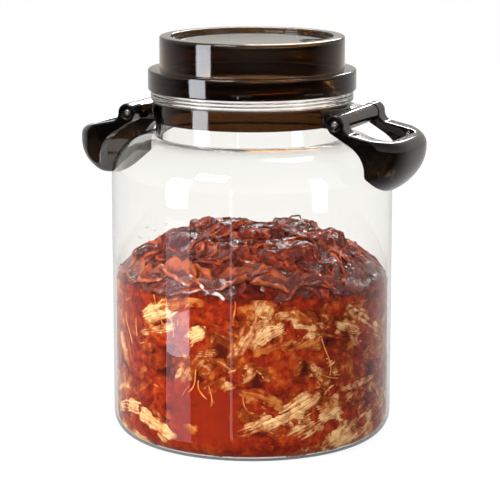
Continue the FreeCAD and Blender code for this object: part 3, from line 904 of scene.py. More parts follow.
@dataclass
class BailHardware:
    """The collar with its barrels, the two bail handles and their steel pins."""

    voxel: float = 0.5
    smoothing: int = 3
    # Painted glow: below this height the grips fade to the lighter colour, standing in for light shining
    # through.
    painted_glow_below: float = 192.0
    painted_glow_fade: float = 30.0
    ring_outer: float = 62.95
    ring_inner: float = 60.75
    axis_reach: float = 70.4
    axis_height: float = 208.7
    pin_radius: float = 2.0
    pin_end: float = 37.5
    barrel_half: float = 27.5
    edge_margin: float = 1.1
    ring_reach: float = 0.45

    def moulded(self, node: str, name: str) -> bpy.types.Object:
        """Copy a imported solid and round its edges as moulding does.

        Args:
            node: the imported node.
            name: the new piece's name.

        Returns:
            The moulded copy.
        """
        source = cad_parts[node]
        piece = source.copy()
        piece.data = source.data.copy()
        for key in list(piece.keys()):
            del piece[key]
        piece.parent = None
        piece.name = name
        piece.data.name = name
        bpy.context.collection.objects.link(piece)
        take(piece)
        bpy.ops.object.mode_set(mode="EDIT")
        bpy.ops.mesh.select_all(action="SELECT")
        bpy.ops.mesh.remove_doubles(threshold=1e-5)
        bpy.ops.object.mode_set(mode="OBJECT")
        apply_modifier(piece, "REMESH", mode="VOXEL", voxel_size=self.voxel * MM)
        apply_modifier(piece, "SMOOTH", factor=0.5, iterations=self.smoothing)
        return piece

    def true_ring(self, collar: bpy.types.Object) -> None:
        """Set the collar's round walls exactly on their radii."""
        places = positions(collar)
        reach = np.hypot(places[:, 0], places[:, 1]) / MM
        clear_of_barrel = np.abs(places[:, 1]) / MM > self.barrel_half
        low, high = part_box("handle_collar")
        level = places[:, 2]
        margin = self.edge_margin * MM
        middle = (level > low.z + margin) & (level < high.z - margin)
        for radius, everywhere in ((self.ring_outer, False), (self.ring_inner, True)):
            near = (np.abs(reach - radius) < self.ring_reach) & middle & (clear_of_barrel | everywhere)
            places[near, :2] *= (radius / reach[near])[:, None]
        set_positions(collar, places)

    def pin(self, name: str, side: int) -> bpy.types.Object:
        """Make one hinge pin with chamfered, centre-drilled ends.

        Args:
            name: the pin's name.
            side: 1 at the right, -1 at the left.

        Returns:
            The pin.
        """
        end = self.pin_end
        pin = turned(name, eased([
            (0, -end + 0.8),
            (0.55, -end + 0.25),
            (0.75, -end),
            (self.pin_radius, -end, 0.35),
            (self.pin_radius, end, 0.35),
            (0.75, end),
            (0.55, end - 0.25),
            (0, end - 0.8),
        ]), 48)
        pin.data.transform(Matrix.Rotation(math.pi / 2, 4, "X"))
        pin.data.transform(Matrix.Translation((side * self.axis_reach * MM, 0, self.axis_height * MM)))
        soften_shading(pin, 35)
        return pin

    def build(self) -> None:
        """Build the collar, the handles and the pins."""
        collar = self.moulded("handle_collar", "bail_collar")
        self.true_ring(collar)
        soften_shading(collar, 35)
        dress(collar, SMOKE_COLLAR.material(), "jar")
        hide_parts("handle_collar")
        grip = SMOKE_BAIL.material()
        steel = STEEL.material()
        for side, label in ((1, "right"), (-1, "left")):
            handle = self.moulded(f"handle_{label}", f"bail_{label}_grip")
            # Painted glow: the lower part of each grip gets the lighter colour, fading in below a height.
            heights = positions(handle)[:, 2] / MM
            set_tone(handle, np.clip((self.painted_glow_below - heights) / self.painted_glow_fade, 0.0, 1.0))
            soften_shading(handle, 45)
            dress(handle, grip, f"bail_{label}")
            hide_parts(f"handle_{label}")
            pin = self.pin(f"steel_pin_{label}", side)
            dress(pin, steel, "jar")
            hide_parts(f"pin_{label}")


# Lumps on the heap: turn in degrees, share of the radius, turn of the long side.
LUMPS = ((285, 0.1, 20), (10, 0.48, 70), (75, 0.52, 140), (140, 0.46, 30), (205, 0.52, 95),
         (265, 0.46, 160), (322, 0.5, 45))
# Hollows at the wall, where the bed is pushed in and painted darker as shade: turn from the front, height,
# half width in degrees, half height.
HOLLOWS = ((-13.5, 66, 6.5, 9.0), (-40, 66, 8.0, 4.5), (-30, 58, 7.0, 4.5), (-17, 50, 8.0, 4.0),
           (37, 88, 5.0, 3.0), (70, 78, 5.0, 3.0), (20, 76, 9.0, 1.6))
# Where wet sauce climbs higher: turn from the front, spread in degrees, rise.
SHORE = ((-48, 20, 9.0), (-22, 12, 8.0), (3, 13, 12.0), (52, 26, 3.0))
# The calm patch of sauce: turn from the front, its half width, height, its half height.
CALM = (-19, 15, 31, 21)
# Layers of noise, each a strength, a size in millimetres and a seed.
HEAP_RIPPLE = ((1.5, 15.0, 3.1), (1.3, 6.0, 5.7))
SHORE_RIPPLE = ((6.0, 24.0, 6.1), (3.0, 9.0, 2.6))
RAGGED_EDGE = ((0.4, 17.0, 2.2), (0.22, 6.0, 3.2))
# Front pieces: turn, height, length, width, lean, cut, paleness, sink.
FRONT_PIECES = (
    (-41, 93, 42, 17, 22, Cut.STEM, 0.95, 0.5), (-42, 81, 34, 9, 16, Cut.STEM, 0.8, 0.6),
    (-24, 81, 17, 14, 36, Cut.STEM, 1.15, 0.3), (-22, 70, 26, 10, 4, Cut.STEM, 0.8, 0.6),
    (7, 84, 21, 12, 29, Cut.STEM, 1.05, 0.4), (9, 80, 44, 19, 22, Cut.LEAF, 0.85, 0.7),
    (12, 62, 32, 18, 10, Cut.STEM, 0.75, 0.7), (30, 61, 19, 13, 23, Cut.STEM, 0.75, 0.6),
    (38, 57, 14, 10, 9, Cut.STEM, 0.7, 0.6), (18, 94, 26, 9, -33, Cut.LEAF, 0.6, 0.6),
    (43, 82, 28, 8, -22, Cut.STEM, 0.95, 0.5), (12, 32, 62, 17, 25, Cut.STEM, 0.85, 0.5),
    (24, 23, 68, 13, 26, Cut.STEM, 0.8, 0.5), (54, 20, 64, 17, 22, Cut.STEM, 0.95, 0.4),
    (34, 12, 60, 13, 24, Cut.STEM, 0.75, 0.6), (33, 33, 44, 11, 20, Cut.STEM, 0.75, 0.6),
    (49, 45, 38, 6, 4, Cut.STEM, 0.95, 0.4), (4, 42, 36, 15, -22, Cut.LEAF, 0.75, 0.7),
    (-60, 26, 42, 12, 8, Cut.STEM, 1.1, 0.3), (-43, 20, 38, 13, -16, Cut.STEM, 1.1, 0.3),
    (-59, 9, 40, 9, -8, Cut.STEM, 0.95, 0.5), (66, 15, 54, 14, 10, Cut.STEM, 0.7, 0.6),
    (64, 61, 50, 13, -10, Cut.LEAF, 0.7, 0.6), (58, 93, 46, 14, -2, Cut.LEAF, 0.5, 0.8),
    (-67, 64, 24, 9, -58, Cut.STEM, 0.85, 0.5), (-71, 84, 24, 12, -32, Cut.LEAF, 0.8, 0.6),
    (-62, 55, 22, 8, -37, Cut.STEM, 0.85, 0.5), (-52, 71, 26, 12, -20, Cut.LEAF, 0.7, 0.7),
    (48, 70, 34, 14, 12, Cut.LEAF, 0.65, 0.8), (22, 74, 30, 12, 14, Cut.LEAF, 0.6, 0.8),
    (2, 98, 28, 20, 20, Cut.LEAF, 0.4, 0.7), (-30, 100, 40, 10, 12, Cut.LEAF, 0.7, 0.6),
    (75, 78, 36, 17, 20, Cut.STEM, 0.6, 0.8), (80, 36, 44, 15, 40, Cut.STEM, 0.7, 0.6),
    (-76, 40, 36, 16, -20, Cut.STEM, 0.6, 0.7), (-78, 96, 34, 14, 15, Cut.LEAF, 0.6, 0.8),
)
# Front folds: turn, share of the radius, length, width, spin, paleness, curl.
FRONT_FOLDS = (
    (-52, 0.93, 26, 12, 100, 0.7, 1.1), (-38, 0.88, 32, 14, 78, 0.95, 1.5),
    (-24, 0.9, 28, 12, 62, 0.8, 1.3), (-30, 0.96, 36, 10, 98, 0.5, 0.9),
    (-8, 0.9, 24, 11, 112, 0.5, 1.4), (8, 0.91, 26, 12, 76, 0.6, 1.5),
    (2, 0.83, 22, 11, 94, 0.3, 1.4), (16, 0.95, 26, 9, 124, 0.4, 1.2),
    (-66, 0.94, 26, 11, 80, 0.7, 1.2), (34, 0.96, 26, 9, 66, 0.2, 1.1),
    (52, 0.97, 30, 10, 98, 0.3, 1.0), (70, 0.96, 26, 10, 90, 0.3, 1.0),
    (-82, 0.95, 26, 11, 95, 0.6, 1.2), (-14, 0.96, 22, 9, 85, 0.2, 1.0),
    (26, 0.92, 22, 9, 100, 0.2, 1.3), (-46, 0.97, 24, 8, 92, 0.3, 1.0),
    (44, 0.92, 22, 9, 110, 0.1, 1.3), (60, 0.92, 22, 9, 80, 0.1, 1.3),
)


@dataclass(frozen=True)
class WallPiece:
    """A piece of cabbage that lies against the wall."""

    turn: float
    height: float
    length: float
    width: float
    lean: float
    cut: Cut
    pale: float
    sink: float = 0.7


@dataclass
class Kimchi:
    """Packed kimchi: sauce, cabbage pieces against the wall, shreds, and a heaped top."""

    wall: float = 88.05
    base: float = 2.2
    foot_round: float = 14.5
    edge: float = 102.0
    mound: float = 30.0
    bed_radius: float = 88.2
    brow_reach: float = 0.7
    brow_rise: float = 0.66
    brow_round: float = 53.0
    lump_height: float = 4.0
    lump_length: float = 0.26
    lump_width: float = 0.15
    mass_inset: float = 1.7
    seed: int = 11
    others: int = 176
    mound_bits: int = 760
    mound_shreds: int = 60
    wall_shreds: int = 120
    front_shreds: int = 34
    flakes: int = 460
    flakes_above: int = 9
    foot_wall: float = 1.9
    shore_rise: float = 3.0
    side_rest: float = 0.75
    side_fold: float = 1.9
    side_hollow: float = 3.5
    side_inward: float = 3.0
    side_outward: float = 1.35
    calm_share: float = 0.85
    calm_shift: float = 1.1
    piece_thick: float = 0.7
    bit_thick: float = 1.2
    fine_front: tuple[int, int] = (36, 22)
    fine_behind: tuple[int, int] = (18, 10)
    bed_heel: float = 12.6
    bed_steps: int = 330
    edge_inset: float = 2.5

    def __post_init__(self) -> None:
        """Start the seeded draw."""
        self.draw = random.Random(self.seed)
        rim = Vector((self.bed_radius, self.edge))
        brow = Vector((self.bed_radius * self.brow_reach, self.edge + self.mound * self.brow_rise))
        middle = (rim + brow) / 2
        chord = brow - rim
        inward = Vector((-chord.y, chord.x)).normalized()
        self.brow_centre = middle + inward * math.sqrt(self.brow_round ** 2 - chord.length_squared / 4)
        rise = self.mound * (1 - self.brow_rise)
        self.crown_round = brow.x ** 2 / (2 * rise) + rise / 2

    def wall_limit(self, height: float) -> float:
        """Give how far out contents may reach at a height, inside the rounded foot."""
        if height >= self.foot_round:
            return self.wall
        inner = self.foot_round - self.foot_wall
        drop = min(self.foot_round - height, inner)
        return self.wall - inner + math.sqrt(max(inner ** 2 - drop ** 2, 0.0))

    def top_at(self, x: float, y: float) -> float:
        """Give the height of the heap above a place, in millimetres."""
        reach = min(math.hypot(x, y), self.bed_radius)
        if reach < self.bed_radius * self.brow_reach:
            drop = self.crown_round - math.sqrt(self.crown_round ** 2 - reach ** 2)
            height = self.edge + self.mound - drop
        else:
            out = reach - self.brow_centre.x
            height = self.brow_centre.y + math.sqrt(max(self.brow_round ** 2 - out ** 2, 0.0))
        for angle, share, turn in LUMPS:
            centre = share * self.bed_radius
            across = Vector((x, y)) - Vector((centre * math.cos(math.radians(angle)),
                                              centre * math.sin(math.radians(angle))))
            across.rotate(Matrix.Rotation(-math.radians(turn), 2))
            inside = (1 - (across.x / (self.lump_length * self.bed_radius)) ** 2
                      - (across.y / (self.lump_width * self.bed_radius)) ** 2)
            if inside > 0:
                level = self.edge + self.mound - centre ** 2 / (2 * self.crown_round)
                height = max(height, level + self.lump_height * math.sqrt(inside))
        ripple = layered((x, y, 0.0), HEAP_RIPPLE)
        return height + ripple * (1 - (reach / self.bed_radius) ** 6)

    def mass(self) -> bpy.types.Object:
        """Make the bed of sauce: one closed lump with an uneven side and a heaped top."""
        reach = self.wall - self.mass_inset
        heel = self.bed_heel
        section: list[Point] = [(r, self.base) for r in np.linspace(0, reach - heel, 12)]
        section += arc((reach - heel, self.base + heel), heel, -90, 0, 10)[1:]
        section += [(reach, h) for h in np.linspace(self.base + 14, self.edge, 64)]
        section += [(r, self.edge) for r in np.linspace(reach - 1.2, 0, 66)]
        bed = turned("kimchi_mass", section, self.bed_steps)
        places = positions(bed) / MM
        # Painted shade, stored as the tone: the heap top gets an even 0.25, the side more the further it is
        # pushed in from the wall.
        painted_pocket_shade = np.zeros(len(places))
        calm = np.zeros(len(places))
        for index, (x, y, z) in enumerate(places):
            r = math.hypot(x, y)
            if z > self.edge - 0.01 and r < reach - 0.6:
                places[index, 2] = self.top_at(x, y)
                painted_pocket_shade[index] = 0.25
                continue
            if r < reach - 13.2 or z < self.base + 0.5:
                continue
            fold = noise_at((x, y, z * 1.4), 16.0, 9.2) + 0.5 * noise_at((x, y, z), 6.0, 1.3)
            turn = turn_from_front(x, y)
            hollow = sum(math.exp(-((turn - t) / wide) ** 2 - ((z - h) / tall) ** 2)
                         for t, h, wide, tall in HOLLOWS)
            shift = self.side_rest + self.side_fold * fold - self.side_hollow * hollow
            shift = min(max(shift, -self.side_inward), self.side_outward)
            calm[index] = self.calm_share * self.calm_at(turn, z)
            shift += (self.calm_shift - shift) * calm[index]
            if z < self.foot_round + 4:
                shift = max(shift, 1.0)
            scale = (r + shift) / r
            places[index, :2] *= scale
            painted_pocket_shade[index] = min(max((0.7 - shift) / 2.4, 0.0), 1.0)
        set_positions(bed, places * MM)
        set_tone(bed, painted_pocket_shade)
        set_tone(bed, calm, "calm")
        soften_shading(bed, BED_SMOOTH)
        return bed

    def calm_at(self, turn: float, height: float) -> float:
        """Tell, from 0 to 1, how far a place at the wall is plain sauce with no cabbage in it."""
        middle, wide, level, tall = CALM
        return min(1.3 * math.exp(-((turn - middle) / wide) ** 4 - ((height - level) / tall) ** 4), 1.0)

    def shore(self, x: float, y: float) -> float:
        """Give the height where wet sauce ends and the heap's drier shreds begin, above a place."""
        turn = turn_from_front(x, y)
        rise = layered((x, y, 0.0), SHORE_RIPPLE, self.shore_rise)
        for middle, spread, height in SHORE:
            rise += height * math.exp(-((turn - middle) / spread) ** 2)
        return self.edge + rise

    def on_wall(self, turn: float, height: float, depth: float) -> Vector:
        """Give a place against the wall in metres.

        Args:
            turn: degrees to the right of the jar's front.
            height: millimetres above the floor.
            depth: millimetres in from the wall.

        Returns:
            The place.
        """
        reach = min(self.wall, self.wall_limit(height)) - depth
        angle = math.radians(FRONT + turn)
        return Vector((reach * math.cos(angle), reach * math.sin(angle), height)) * MM

    def pressed(self, spec: WallPiece, index: int, fine: tuple[int, int]) -> bpy.types.Object:
        """Make one cabbage piece, bent to the wall.

        Args:
            spec: its place, size and look.
            index: its number, which seeds its folds.
            fine: its divisions along and across.

        Returns:
            The piece.
        """
        deselect()
        stem = spec.cut is Cut.STEM
        bpy.ops.mesh.primitive_grid_add(x_subdivisions=fine[0], y_subdivisions=fine[1], size=1)
        piece = bpy.context.object
        piece.name = f"{spec.cut.value}_{index:03d}"
        lean = math.radians(spec.lean)
        ribs = (4.5 if stem else 2.0) + 3.0 * self.draw.random()
        phase = self.draw.uniform(0, math.tau)
        bend = self.draw.uniform(-0.22, 0.22)
        taper = self.draw.uniform(-0.45, 0.45)
        crumples = ((1.0, 11.0 if stem else 7.0, 4.4), (0.5, 4.0, 8.8))
        places = positions(piece)
        soak = np.zeros(len(places))
        for number, (u, v, _) in enumerate(places):
            side = 40.0 if v > 0 else -40.0
            ragged = layered((u * 90, side, index * 7.0), RAGGED_EDGE)
            outline = max(1 - abs(2 * u) ** 3.6, 0.0) ** 0.5 * (1 + taper * u) + ragged
            along = spec.length * (u + bend * v * v + 0.06 * noise_at((v * 70, index * 3.0, 0), 9.0, 1.0))
            across = spec.width * v * outline + spec.length * bend * 0.6 * u * u
            rib = math.cos(math.tau * ribs * v + phase + 2.2 * u)
            crumple = layered((along, across, index * 13.0), crumples)
            depth = spec.sink + (0.22 if stem else 0.15) * rib + (0.8 if stem else 1.1) * crumple
            depth += 8.0 * max(abs(v) - 0.3, 0.0) + 7.0 * max(abs(u) - 0.4, 0.0)
            arc_length = along * math.cos(lean) - across * math.sin(lean)
            rise = along * math.sin(lean) + across * math.cos(lean)
            height = min(max(spec.height + rise, self.base + 0.8), self.edge + 3.0)
            turn = spec.turn + math.degrees(arc_length / self.wall)
            depth = max(depth, 0.1)
            # Painted shade: darker the deeper the piece lies in from the wall, and towards its borders.
            painted_border_shade = max(abs(v) - 0.28, 0.0) * 1.6 + max(abs(u) - 0.34, 0.0) * 2.2
            soak[number] = min(depth / 2.8 + painted_border_shade, 1.3)
            places[number] = self.on_wall(turn, height, depth)
        set_positions(piece, places)
        set_tone(piece, spec.pale)
        set_tone(piece, soak, "soak")
        apply_modifier(piece, "SOLIDIFY", thickness=self.piece_thick * MM, offset=-1.0)
        return piece

    def hidden_pieces(self) -> list[WallPiece]:
        """Draw the pieces round the sides and back."""
        made = []
        for number in range(self.others):
            cut = Cut.STEM if self.draw.random() < 0.5 else Cut.LEAF
            turn = self.draw.uniform(-84, 84) if number % 2 == 0 else self.draw.uniform(84, 276)
            height = self.draw.uniform(9, 98)
            sizes = (self.draw.uniform(28, 62), self.draw.uniform(14, 28))
            lean = self.draw.uniform(-70, 70)
            pale = self.draw.uniform(0.35, 0.95)
            sink = self.draw.uniform(0.5, 1.3) + 1.6 * self.calm_at(turn, height)
            made.append(WallPiece(turn, height, *sizes, lean, cut, pale, sink))
        return made

    @staticmethod
    def gathered(name: str, pieces: list[bpy.types.Object], look: CabbageFlesh) -> None:
        """Join pieces into one object of the contents and give it its look."""
        joined = join(name, pieces)
        soften_shading(joined, BED_SMOOTH)
        dress(joined, look.material(), "jar")

    def cabbage(self) -> None:
        """Make the stems and the leaves against the wall, one object for each."""
        groups: dict[Cut, list[bpy.types.Object]] = {Cut.STEM: [], Cut.LEAF: []}
        shown = [WallPiece(*row) for row in FRONT_PIECES]
        for index, spec in enumerate(shown + self.hidden_pieces()):
            fine = self.fine_front if index < len(shown) else self.fine_behind
            groups[spec.cut].append(self.pressed(spec, index, fine))
        self.gathered("cabbage_stems", groups[Cut.STEM], STEM)
        self.gathered("cabbage_leaves", groups[Cut.LEAF], LEAF)

    def bit_model(self, index: int, length: float, width: float, curl: float,
                  fine: tuple[int, int]) -> bpy.types.Object:
        """Model one crumpled bit of leaf at the origin.

        Args:
            index: its number, which seeds its crumples.
            length: its length in millimetres.
            width: its width in millimetres.
            curl: how much its sides curl up.
            fine: its divisions along and across.

        Returns:
            The bit of leaf.
        """
        deselect()
        bpy.ops.mesh.primitive_grid_add(x_subdivisions=fine[0], y_subdivisions=fine[1], size=1)
        bit = bpy.context.object
        places = positions(bit)
        for number, (u, v, _) in enumerate(places):
            outline = max(1 - abs(2 * u) ** 2.4, 0.0) ** 0.5
            outline *= 1 + 0.5 * noise_at((u * 60, 30.0 if v > 0 else -30.0, index * 5.0), 11.0, 1.9)
            spin = curl * 2 * v * outline
            crumple = 1.1 * noise_at((u * 22, v * 12, index * 9.0), 6.0, 7.7)
            places[number] = (
                length * u + crumple,
                width * 0.5 * math.sin(spin) / max(curl, 0.3) + crumple,
                width * 0.45 * (1 - math.cos(spin)) + crumple + 2.2 * u * u * curl,
            )
        set_positions(bit, places * MM)
        apply_modifier(bit, "SOLIDIFY", thickness=self.bit_thick * MM, offset=0.0)
        return bit

    def shred_model(self, index: int, length: float, thick: float, curl: float) -> bpy.types.Object:
        """Model one thin shred along a smooth curve, at the origin.

        Args:
            index: its number, for its name.
            length: its length in millimetres.
            thick: its thickness in millimetres.
            curl: how much it bends.

        Returns:
            The shred as a mesh.
        """
        deselect()
        bpy.ops.curve.primitive_nurbs_path_add()
        shred = bpy.context.object
        shred.name = f"shred_{index}"
        points = shred.data.splines[0].points
        heading = 0.0
        spot = Vector((-length / 2, 0, 0))
        for point in points:
            point.co = (*(spot * MM), 1.0)
            heading += self.draw.uniform(-curl, curl)
            lift = self.draw.uniform(-0.25, 0.25) * curl
            spot = spot + Vector((math.cos(heading), math.sin(heading), lift)) * length / (len(points) - 1)
        shred.data.bevel_depth = thick / 2 * MM
        shred.data.bevel_resolution = 1
        shred.data.resolution_u = 4
        shred.data.use_fill_caps = True
        bpy.ops.object.convert(target="MESH")
        return bpy.context.object

    def lay(self, piece: bpy.types.Object, spot: Vector, lift: float) -> None:
        """Lay a piece on the heap so that it follows the surface, inside the wall.

        Args:
            piece: the piece, at the origin.
            spot: where it goes, in millimetres from the axis.
            lift: millimetres above the surface.
        """
        places = positions(piece) / MM
        places[:, :2] += np.array(spot[:2])
        reach = np.hypot(places[:, 0], places[:, 1])
        limit = self.wall - 0.3
        over = reach > limit
        places[over, :2] *= (limit / reach[over])[:, None]
        # Painted shade: each bit darker towards its underside, where it meets the heap.
        soak = np.clip(0.55 - places[:, 2] / 5.0, 0.0, 1.0)
        for index, (x, y, z) in enumerate(places):
            places[index, 2] = self.top_at(x, y) + lift + z
        set_positions(piece, places * MM)
        set_tone(piece, soak, "soak")

    def front_folds(self) -> None:
        """Lay larger orange leaves over the front edge of the heap."""
        folds = []
        for index, (turn, share, length, width, spin, pale, curl) in enumerate(FRONT_FOLDS):
            leaf = self.bit_model(100 + index, length, width, curl, (20, 12))
            leaf.data.transform(Matrix.Rotation(math.radians(FRONT + turn + spin), 4, "Z"))
            spot = toward(turn) * share * (self.wall - self.edge_inset)
            set_tone(leaf, pale)
            self.lay(leaf, spot, 0.3)
            folds.append(leaf)
        self.gathered("front_folds", folds, WET_LEAF)

    def heap(self) -> None:
        """Scatter crumpled bits and shreds over the heaped top."""
        bits = [self.bit_model(index, self.draw.uniform(8, 18), self.draw.uniform(4.5, 9),
                               self.draw.uniform(0.3, 1.1), (9, 5)) for index in range(8)]
        shreds = [self.shred_model(index, self.draw.uniform(14, 30), self.draw.uniform(0.9, 1.6), 0.75)
                  for index in range(8)]
        scattered: list[bpy.types.Object] = []
        strands: list[bpy.types.Object] = []
        for count, models, kept, sink in ((self.mound_bits, bits, scattered, -0.7),
                                          (self.mound_shreds, shreds, strands, 0.5)):
            for _ in range(count):
                share = self.draw.random() ** 0.44 * 0.99
                angle = self.draw.uniform(0, math.tau)
                spot = Vector((math.cos(angle), math.sin(angle), 0)) * share * (self.wall - self.edge_inset)
                if self.top_at(spot.x, spot.y) < self.shore(spot.x, spot.y):
                    continue
                lift = sink + self.draw.uniform(-0.8, 0.8)
                wobble = Matrix.Rotation(self.draw.uniform(-0.35, 0.35), 4, "X")
                spin = Matrix.Rotation(self.draw.uniform(0, math.tau), 4, "Z")
                size = Matrix.Scale(self.draw.uniform(0.7, 1.2), 4)
                piece = copy_placed(self.draw.choice(models), spin @ wobble @ size, self.draw.random())
                self.lay(piece, spot, lift)
                kept.append(piece)
        remove(bits + shreds)
        self.gathered("mound_leaves", scattered, MOUND_LEAF)
        self.gathered("mound_shreds", strands, MOUND_LEAF)

    def wall_strands(self) -> None:
        """Lay thin shreds against the wall, bent to it."""
        models = [self.shred_model(index, self.draw.uniform(12, 30), self.draw.uniform(0.6, 1.2), 1.1)
                  for index in range(10)]
        strands = []
        for number in range(self.wall_shreds):
            piece = copy_placed(models[number % len(models)], Matrix.Identity(4), 0.0)
            near_front = number < self.front_shreds
            turn = self.draw.uniform(-80, 80) if near_front else self.draw.uniform(80, 280)
            height = self.draw.uniform(8, 100)
            lean = self.draw.uniform(-1.2, 1.2)
            places = positions(piece) / MM
            for index, (along, across, out) in enumerate(places):
                arc_length = along * math.cos(lean) - across * math.sin(lean)
                rise = along * math.sin(lean) + across * math.cos(lean)
                level = min(max(height + rise, self.base + 1.0), self.edge + 2.0)
                depth = max(0.9 - 0.5 * out, 0.08)
                places[index] = self.on_wall(turn + math.degrees(arc_length / self.wall), level, depth) / MM
            set_positions(piece, places * MM)
            set_tone(piece, self.draw.uniform(0.4, 0.95))
            # An even touch of painted shade.
            set_tone(piece, 0.15, "soak")
            strands.append(piece)
        remove(models)
        self.gathered("wall_shreds", strands, SHRED)

    def chilli_flakes(self) -> None:
        """Strew chilli flakes against the wall, a few of them above the fill."""
        deselect()
        bpy.ops.mesh.primitive_ico_sphere_add(subdivisions=1, radius=1.0 * MM)
        model = bpy.context.object
        model.data.transform(Matrix.Diagonal((1.0, 0.7, 0.28, 1.0)))
        flakes = []
        for number in range(self.flakes):
            above = number % self.flakes_above == 0
            low, high = (self.edge, self.edge + 22) if above else (5, self.edge)
            height = self.draw.uniform(low, high)
            turn = self.draw.uniform(-180, 180)
            place = self.on_wall(turn, height, 0.34)
            out = Vector((place.x, place.y, 0)).normalized()
            face = out.to_track_quat("Z", "Y").to_matrix().to_4x4()
            spin = Matrix.Rotation(self.draw.uniform(0, math.tau), 4, "Z")
            size = Matrix.Scale(self.draw.uniform(0.35, 0.6 if above else 1.0), 4)
            flakes.append(copy_placed(model, Matrix.Translation(place) @ face @ spin @ size,
                                      self.draw.random()))
        remove([model])
        self.gathered("chilli_flakes", flakes, FLAKE)

    def build(self) -> bpy.types.Object:
        """Build the whole contents and hang them on the jar."""
        bed = self.mass()
        dress(bed, PASTE.material(), "jar")
        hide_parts("kimchi_bed")
        self.cabbage()
        self.wall_strands()
        self.heap()
        self.front_folds()
        self.chilli_flakes()
        bed.data.materials.append(MOUND.material())
        for face in bed.data.polygons:
            middle = face.center / MM
            if middle.z > self.shore(middle.x, middle.y):
                face.material_index = 1
        return bed


WALLS = ("clear_jar", "neck_threads")
CLOSURE = ("screw_lid", "bail_collar")


@dataclass(frozen=True)
class SoftLight:
    """A rectangular soft light that faces the jar."""

    name: str
    turn: float
    distance: float
    low: float
    high: float
    width: float
    strength: float
    colour: Colour = (1.0, 1.0, 1.0)
    gloss_only: bool = False
    only: tuple[str, ...] = ()

    def place(self) -> bpy.types.Object:
        """Put the light in the scene."""
        data = bpy.data.lights.new(self.name, "AREA")
        data.shape = "RECTANGLE"
        data.size = self.width
        data.size_y = self.high - self.low
        data.energy = self.strength
        data.color = self.colour
        light = bpy.data.objects.new(self.name, data)
        bpy.context.scene.collection.objects.link(light)
        angle = math.radians(FRONT + self.turn)
        middle = (self.low + self.high) / 2
        light.location = (self.distance * math.cos(angle), self.distance * math.sin(angle), middle)
        aim = Vector((0, 0, middle if self.high - self.low > 0.6 else 0.12)) - light.location
        light.rotation_euler = aim.to_track_quat("-Z", "Y").to_euler()
        light.visible_camera = False
        light.visible_diffuse = not self.gloss_only
        if self.only:
            lit = bpy.data.collections.new(self.name + "_receivers")
            for name in self.only:
                lit.objects.link(bpy.data.objects[name])
            light.light_linking.receiver_collection = lit
        return light


# Lights: name, turn, distance, low, high, width, watts, colour, only in reflections, what they light.
STUDIO_LIGHTS = (
    SoftLight("window_left", -61, 1.15, -0.035, 0.75, 0.4, 12.0,
              (0.86, 0.92, 1.0), True, WALLS + CLOSURE),
    SoftLight("window_left_low", -61, 1.15, -0.5, -0.05, 0.46, 1.4, (0.92, 0.85, 1.0), True, WALLS),
    SoftLight("window_left_spot", -61, 1.14, -0.2, -0.15, 0.42, 0.5, (0.86, 0.88, 1.0), True, WALLS),
    SoftLight("window_sliver", -16.6, 1.9, -0.6, 0.5, 0.07, 0.6, (0.93, 0.9, 1.0), True, WALLS),
    SoftLight("window_gap", -15.4, 1.15, -0.02, 0.004, 0.04, 0.036, (0.9, 0.94, 1.0), True, CLOSURE),
    SoftLight("room_centre", -11, 1.15, 0.006, 0.03, 0.46, 0.024, (1.0, 0.97, 0.9), True, CLOSURE),
    SoftLight("room_right", 70, 1.15, 0.012, 0.026, 0.5, 0.03, (1.0, 0.78, 0.55), True, CLOSURE),
    SoftLight("window_right", 54, 1.1, -0.03, 0.75, 0.26, 3.0, (0.95, 0.97, 1.0), True, WALLS),
    SoftLight("back_window", 172, 1.3, 0.6, 1.05, 0.4, 12.0, (0.98, 0.99, 1.0), True),
    SoftLight("key", -38, 1.5, 1.1, 1.65, 0.8, 30.0, (1.0, 0.98, 0.95)),
    SoftLight("top", 160, 0.6, 1.5, 2.05, 1.0, 16.0),
)


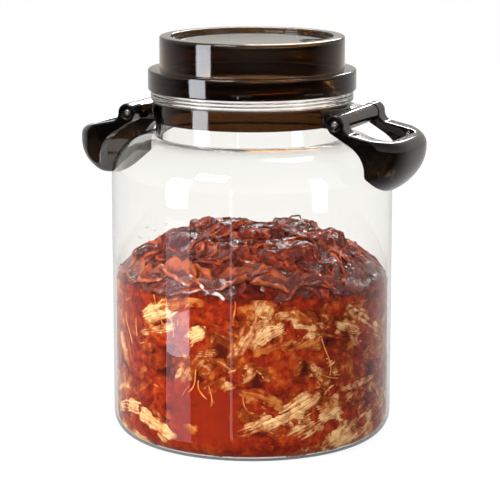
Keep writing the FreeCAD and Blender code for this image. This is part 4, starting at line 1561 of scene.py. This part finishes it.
@dataclass
class Studio:
    """The floor, the lights and the camera."""

    lens: float = 158.97
    eye: Colour = (0.545, -1.2875, 0.3994)
    aim: Colour = (-0.00125, -0.00053, 0.11855)
    floor_size: float = 14.0
    front: Colour = (math.cos(math.radians(FRONT)), math.sin(math.radians(FRONT)), 0.0)
    glow: float = 0.93
    room_span: Point = (-0.95, 0.2)
    diffuse_sky: float = 0.55
    glossy_sky: float = 0.74
    sky: tuple[tuple[float, Colour], ...] = (
        (0.0, (0.08, 0.08, 0.08)),
        (0.49, (0.16, 0.155, 0.15)),
        (0.52, (1.0, 0.95, 0.87)),
        (0.66, (0.9, 0.88, 0.84)),
        (0.85, (0.4, 0.4, 0.4)),
    )

    def camera(self) -> None:
        """Put the camera where the photograph was taken from."""
        data = bpy.data.cameras.new("photo_camera")
        data.lens = self.lens
        data.sensor_width = 36.0
        data.clip_end = 60.0
        camera = bpy.data.objects.new("photo_camera", data)
        bpy.context.scene.collection.objects.link(camera)
        camera.location = self.eye
        look = Vector(self.aim) - Vector(self.eye)
        camera.rotation_euler = look.to_track_quat("-Z", "Y").to_euler()
        bpy.context.scene.camera = camera

    def floor(self) -> None:
        """Lay the pale floor."""
        deselect()
        bpy.ops.mesh.primitive_plane_add(size=self.floor_size)
        floor = bpy.context.object
        floor.name = "studio_floor"
        sheet = NodeSheet("pale_floor")
        where = sheet.place()
        mottle = sheet.clouds(where, 6.0, 3.0)
        heading = sheet.node("VectorMath", operation="NORMALIZE", in0=where).outputs[0]
        ahead = sheet.node("VectorMath", operation="DOT_PRODUCT", in0=heading, in1=self.front)
        room = sheet.curve(ahead.outputs["Value"], *self.room_span, 0.75, 0.035)
        bounces = sheet.node("LightPath").outputs["Glossy Depth"]
        sheet.shade(
            Base_Color=sheet.ramp(mottle, [(0.3, (0.12, 0.12, 0.12)), (0.7, (0.14, 0.14, 0.14))]),
            Roughness=0.9,
            Specular_IOR_Level=0.1,
            Emission_Color=(1.0, 1.0, 1.0, 1.0),
            Emission_Strength=sheet.curve(bounces, 0.0, 1.0, self.glow, room),
        )
        floor.data.materials.append(sheet.material)
        floor.visible_diffuse = False
        floor.visible_glossy = False

    def lights(self) -> None:
        """Set the sky and the soft lights."""
        scene = bpy.context.scene
        scene.view_settings.view_transform = "Standard"
        world = scene.world or bpy.data.worlds.new("studio")
        scene.world = world
        world.use_nodes = True
        sheet = Nodes(world.node_tree)
        backdrop = world.node_tree.nodes["Background"]
        heading = sheet.node("TexCoord").outputs["Generated"]
        level = sheet.node("SeparateXYZ", in0=heading).outputs[2]
        sky = sheet.ramp(sheet.curve(level, -1.0, 1.0), self.sky)
        ahead = sheet.node("VectorMath", operation="DOT_PRODUCT", in0=heading, in1=self.front)
        room = sheet.curve(ahead.outputs["Value"], *self.room_span, 1.0, 0.045)
        path = sheet.node("LightPath").outputs
        lower = sheet.math("MULTIPLY", sheet.math("LESS_THAN", level, 0.0), path["Is Glossy Ray"])
        sheet.feed(backdrop, "Color", sheet.blend(lower, sky, room))
        strength: object = 1.0
        for kind, share in (("Is Diffuse Ray", self.diffuse_sky), ("Is Glossy Ray", self.glossy_sky)):
            strength = sheet.curve(path[kind], 0.0, 1.0, strength, share)
        sheet.feed(backdrop, "Strength", strength)
        for light in STUDIO_LIGHTS:
            light.place()

    def build(self) -> None:
        """Build the studio round the finished pieces."""
        self.camera()
        self.floor()
        self.lights()


def main() -> None:
    """Build every sub-assembly, then the studio."""
    logging.basicConfig(level=logging.INFO, format="%(name)s: %(message)s")
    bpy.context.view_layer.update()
    ClearJar().build()
    BailHardware().build()
    SealRing().build()
    ScrewLid().build()
    Kimchi().build()
    Studio().build()


if __name__ == "__main__":
    main()
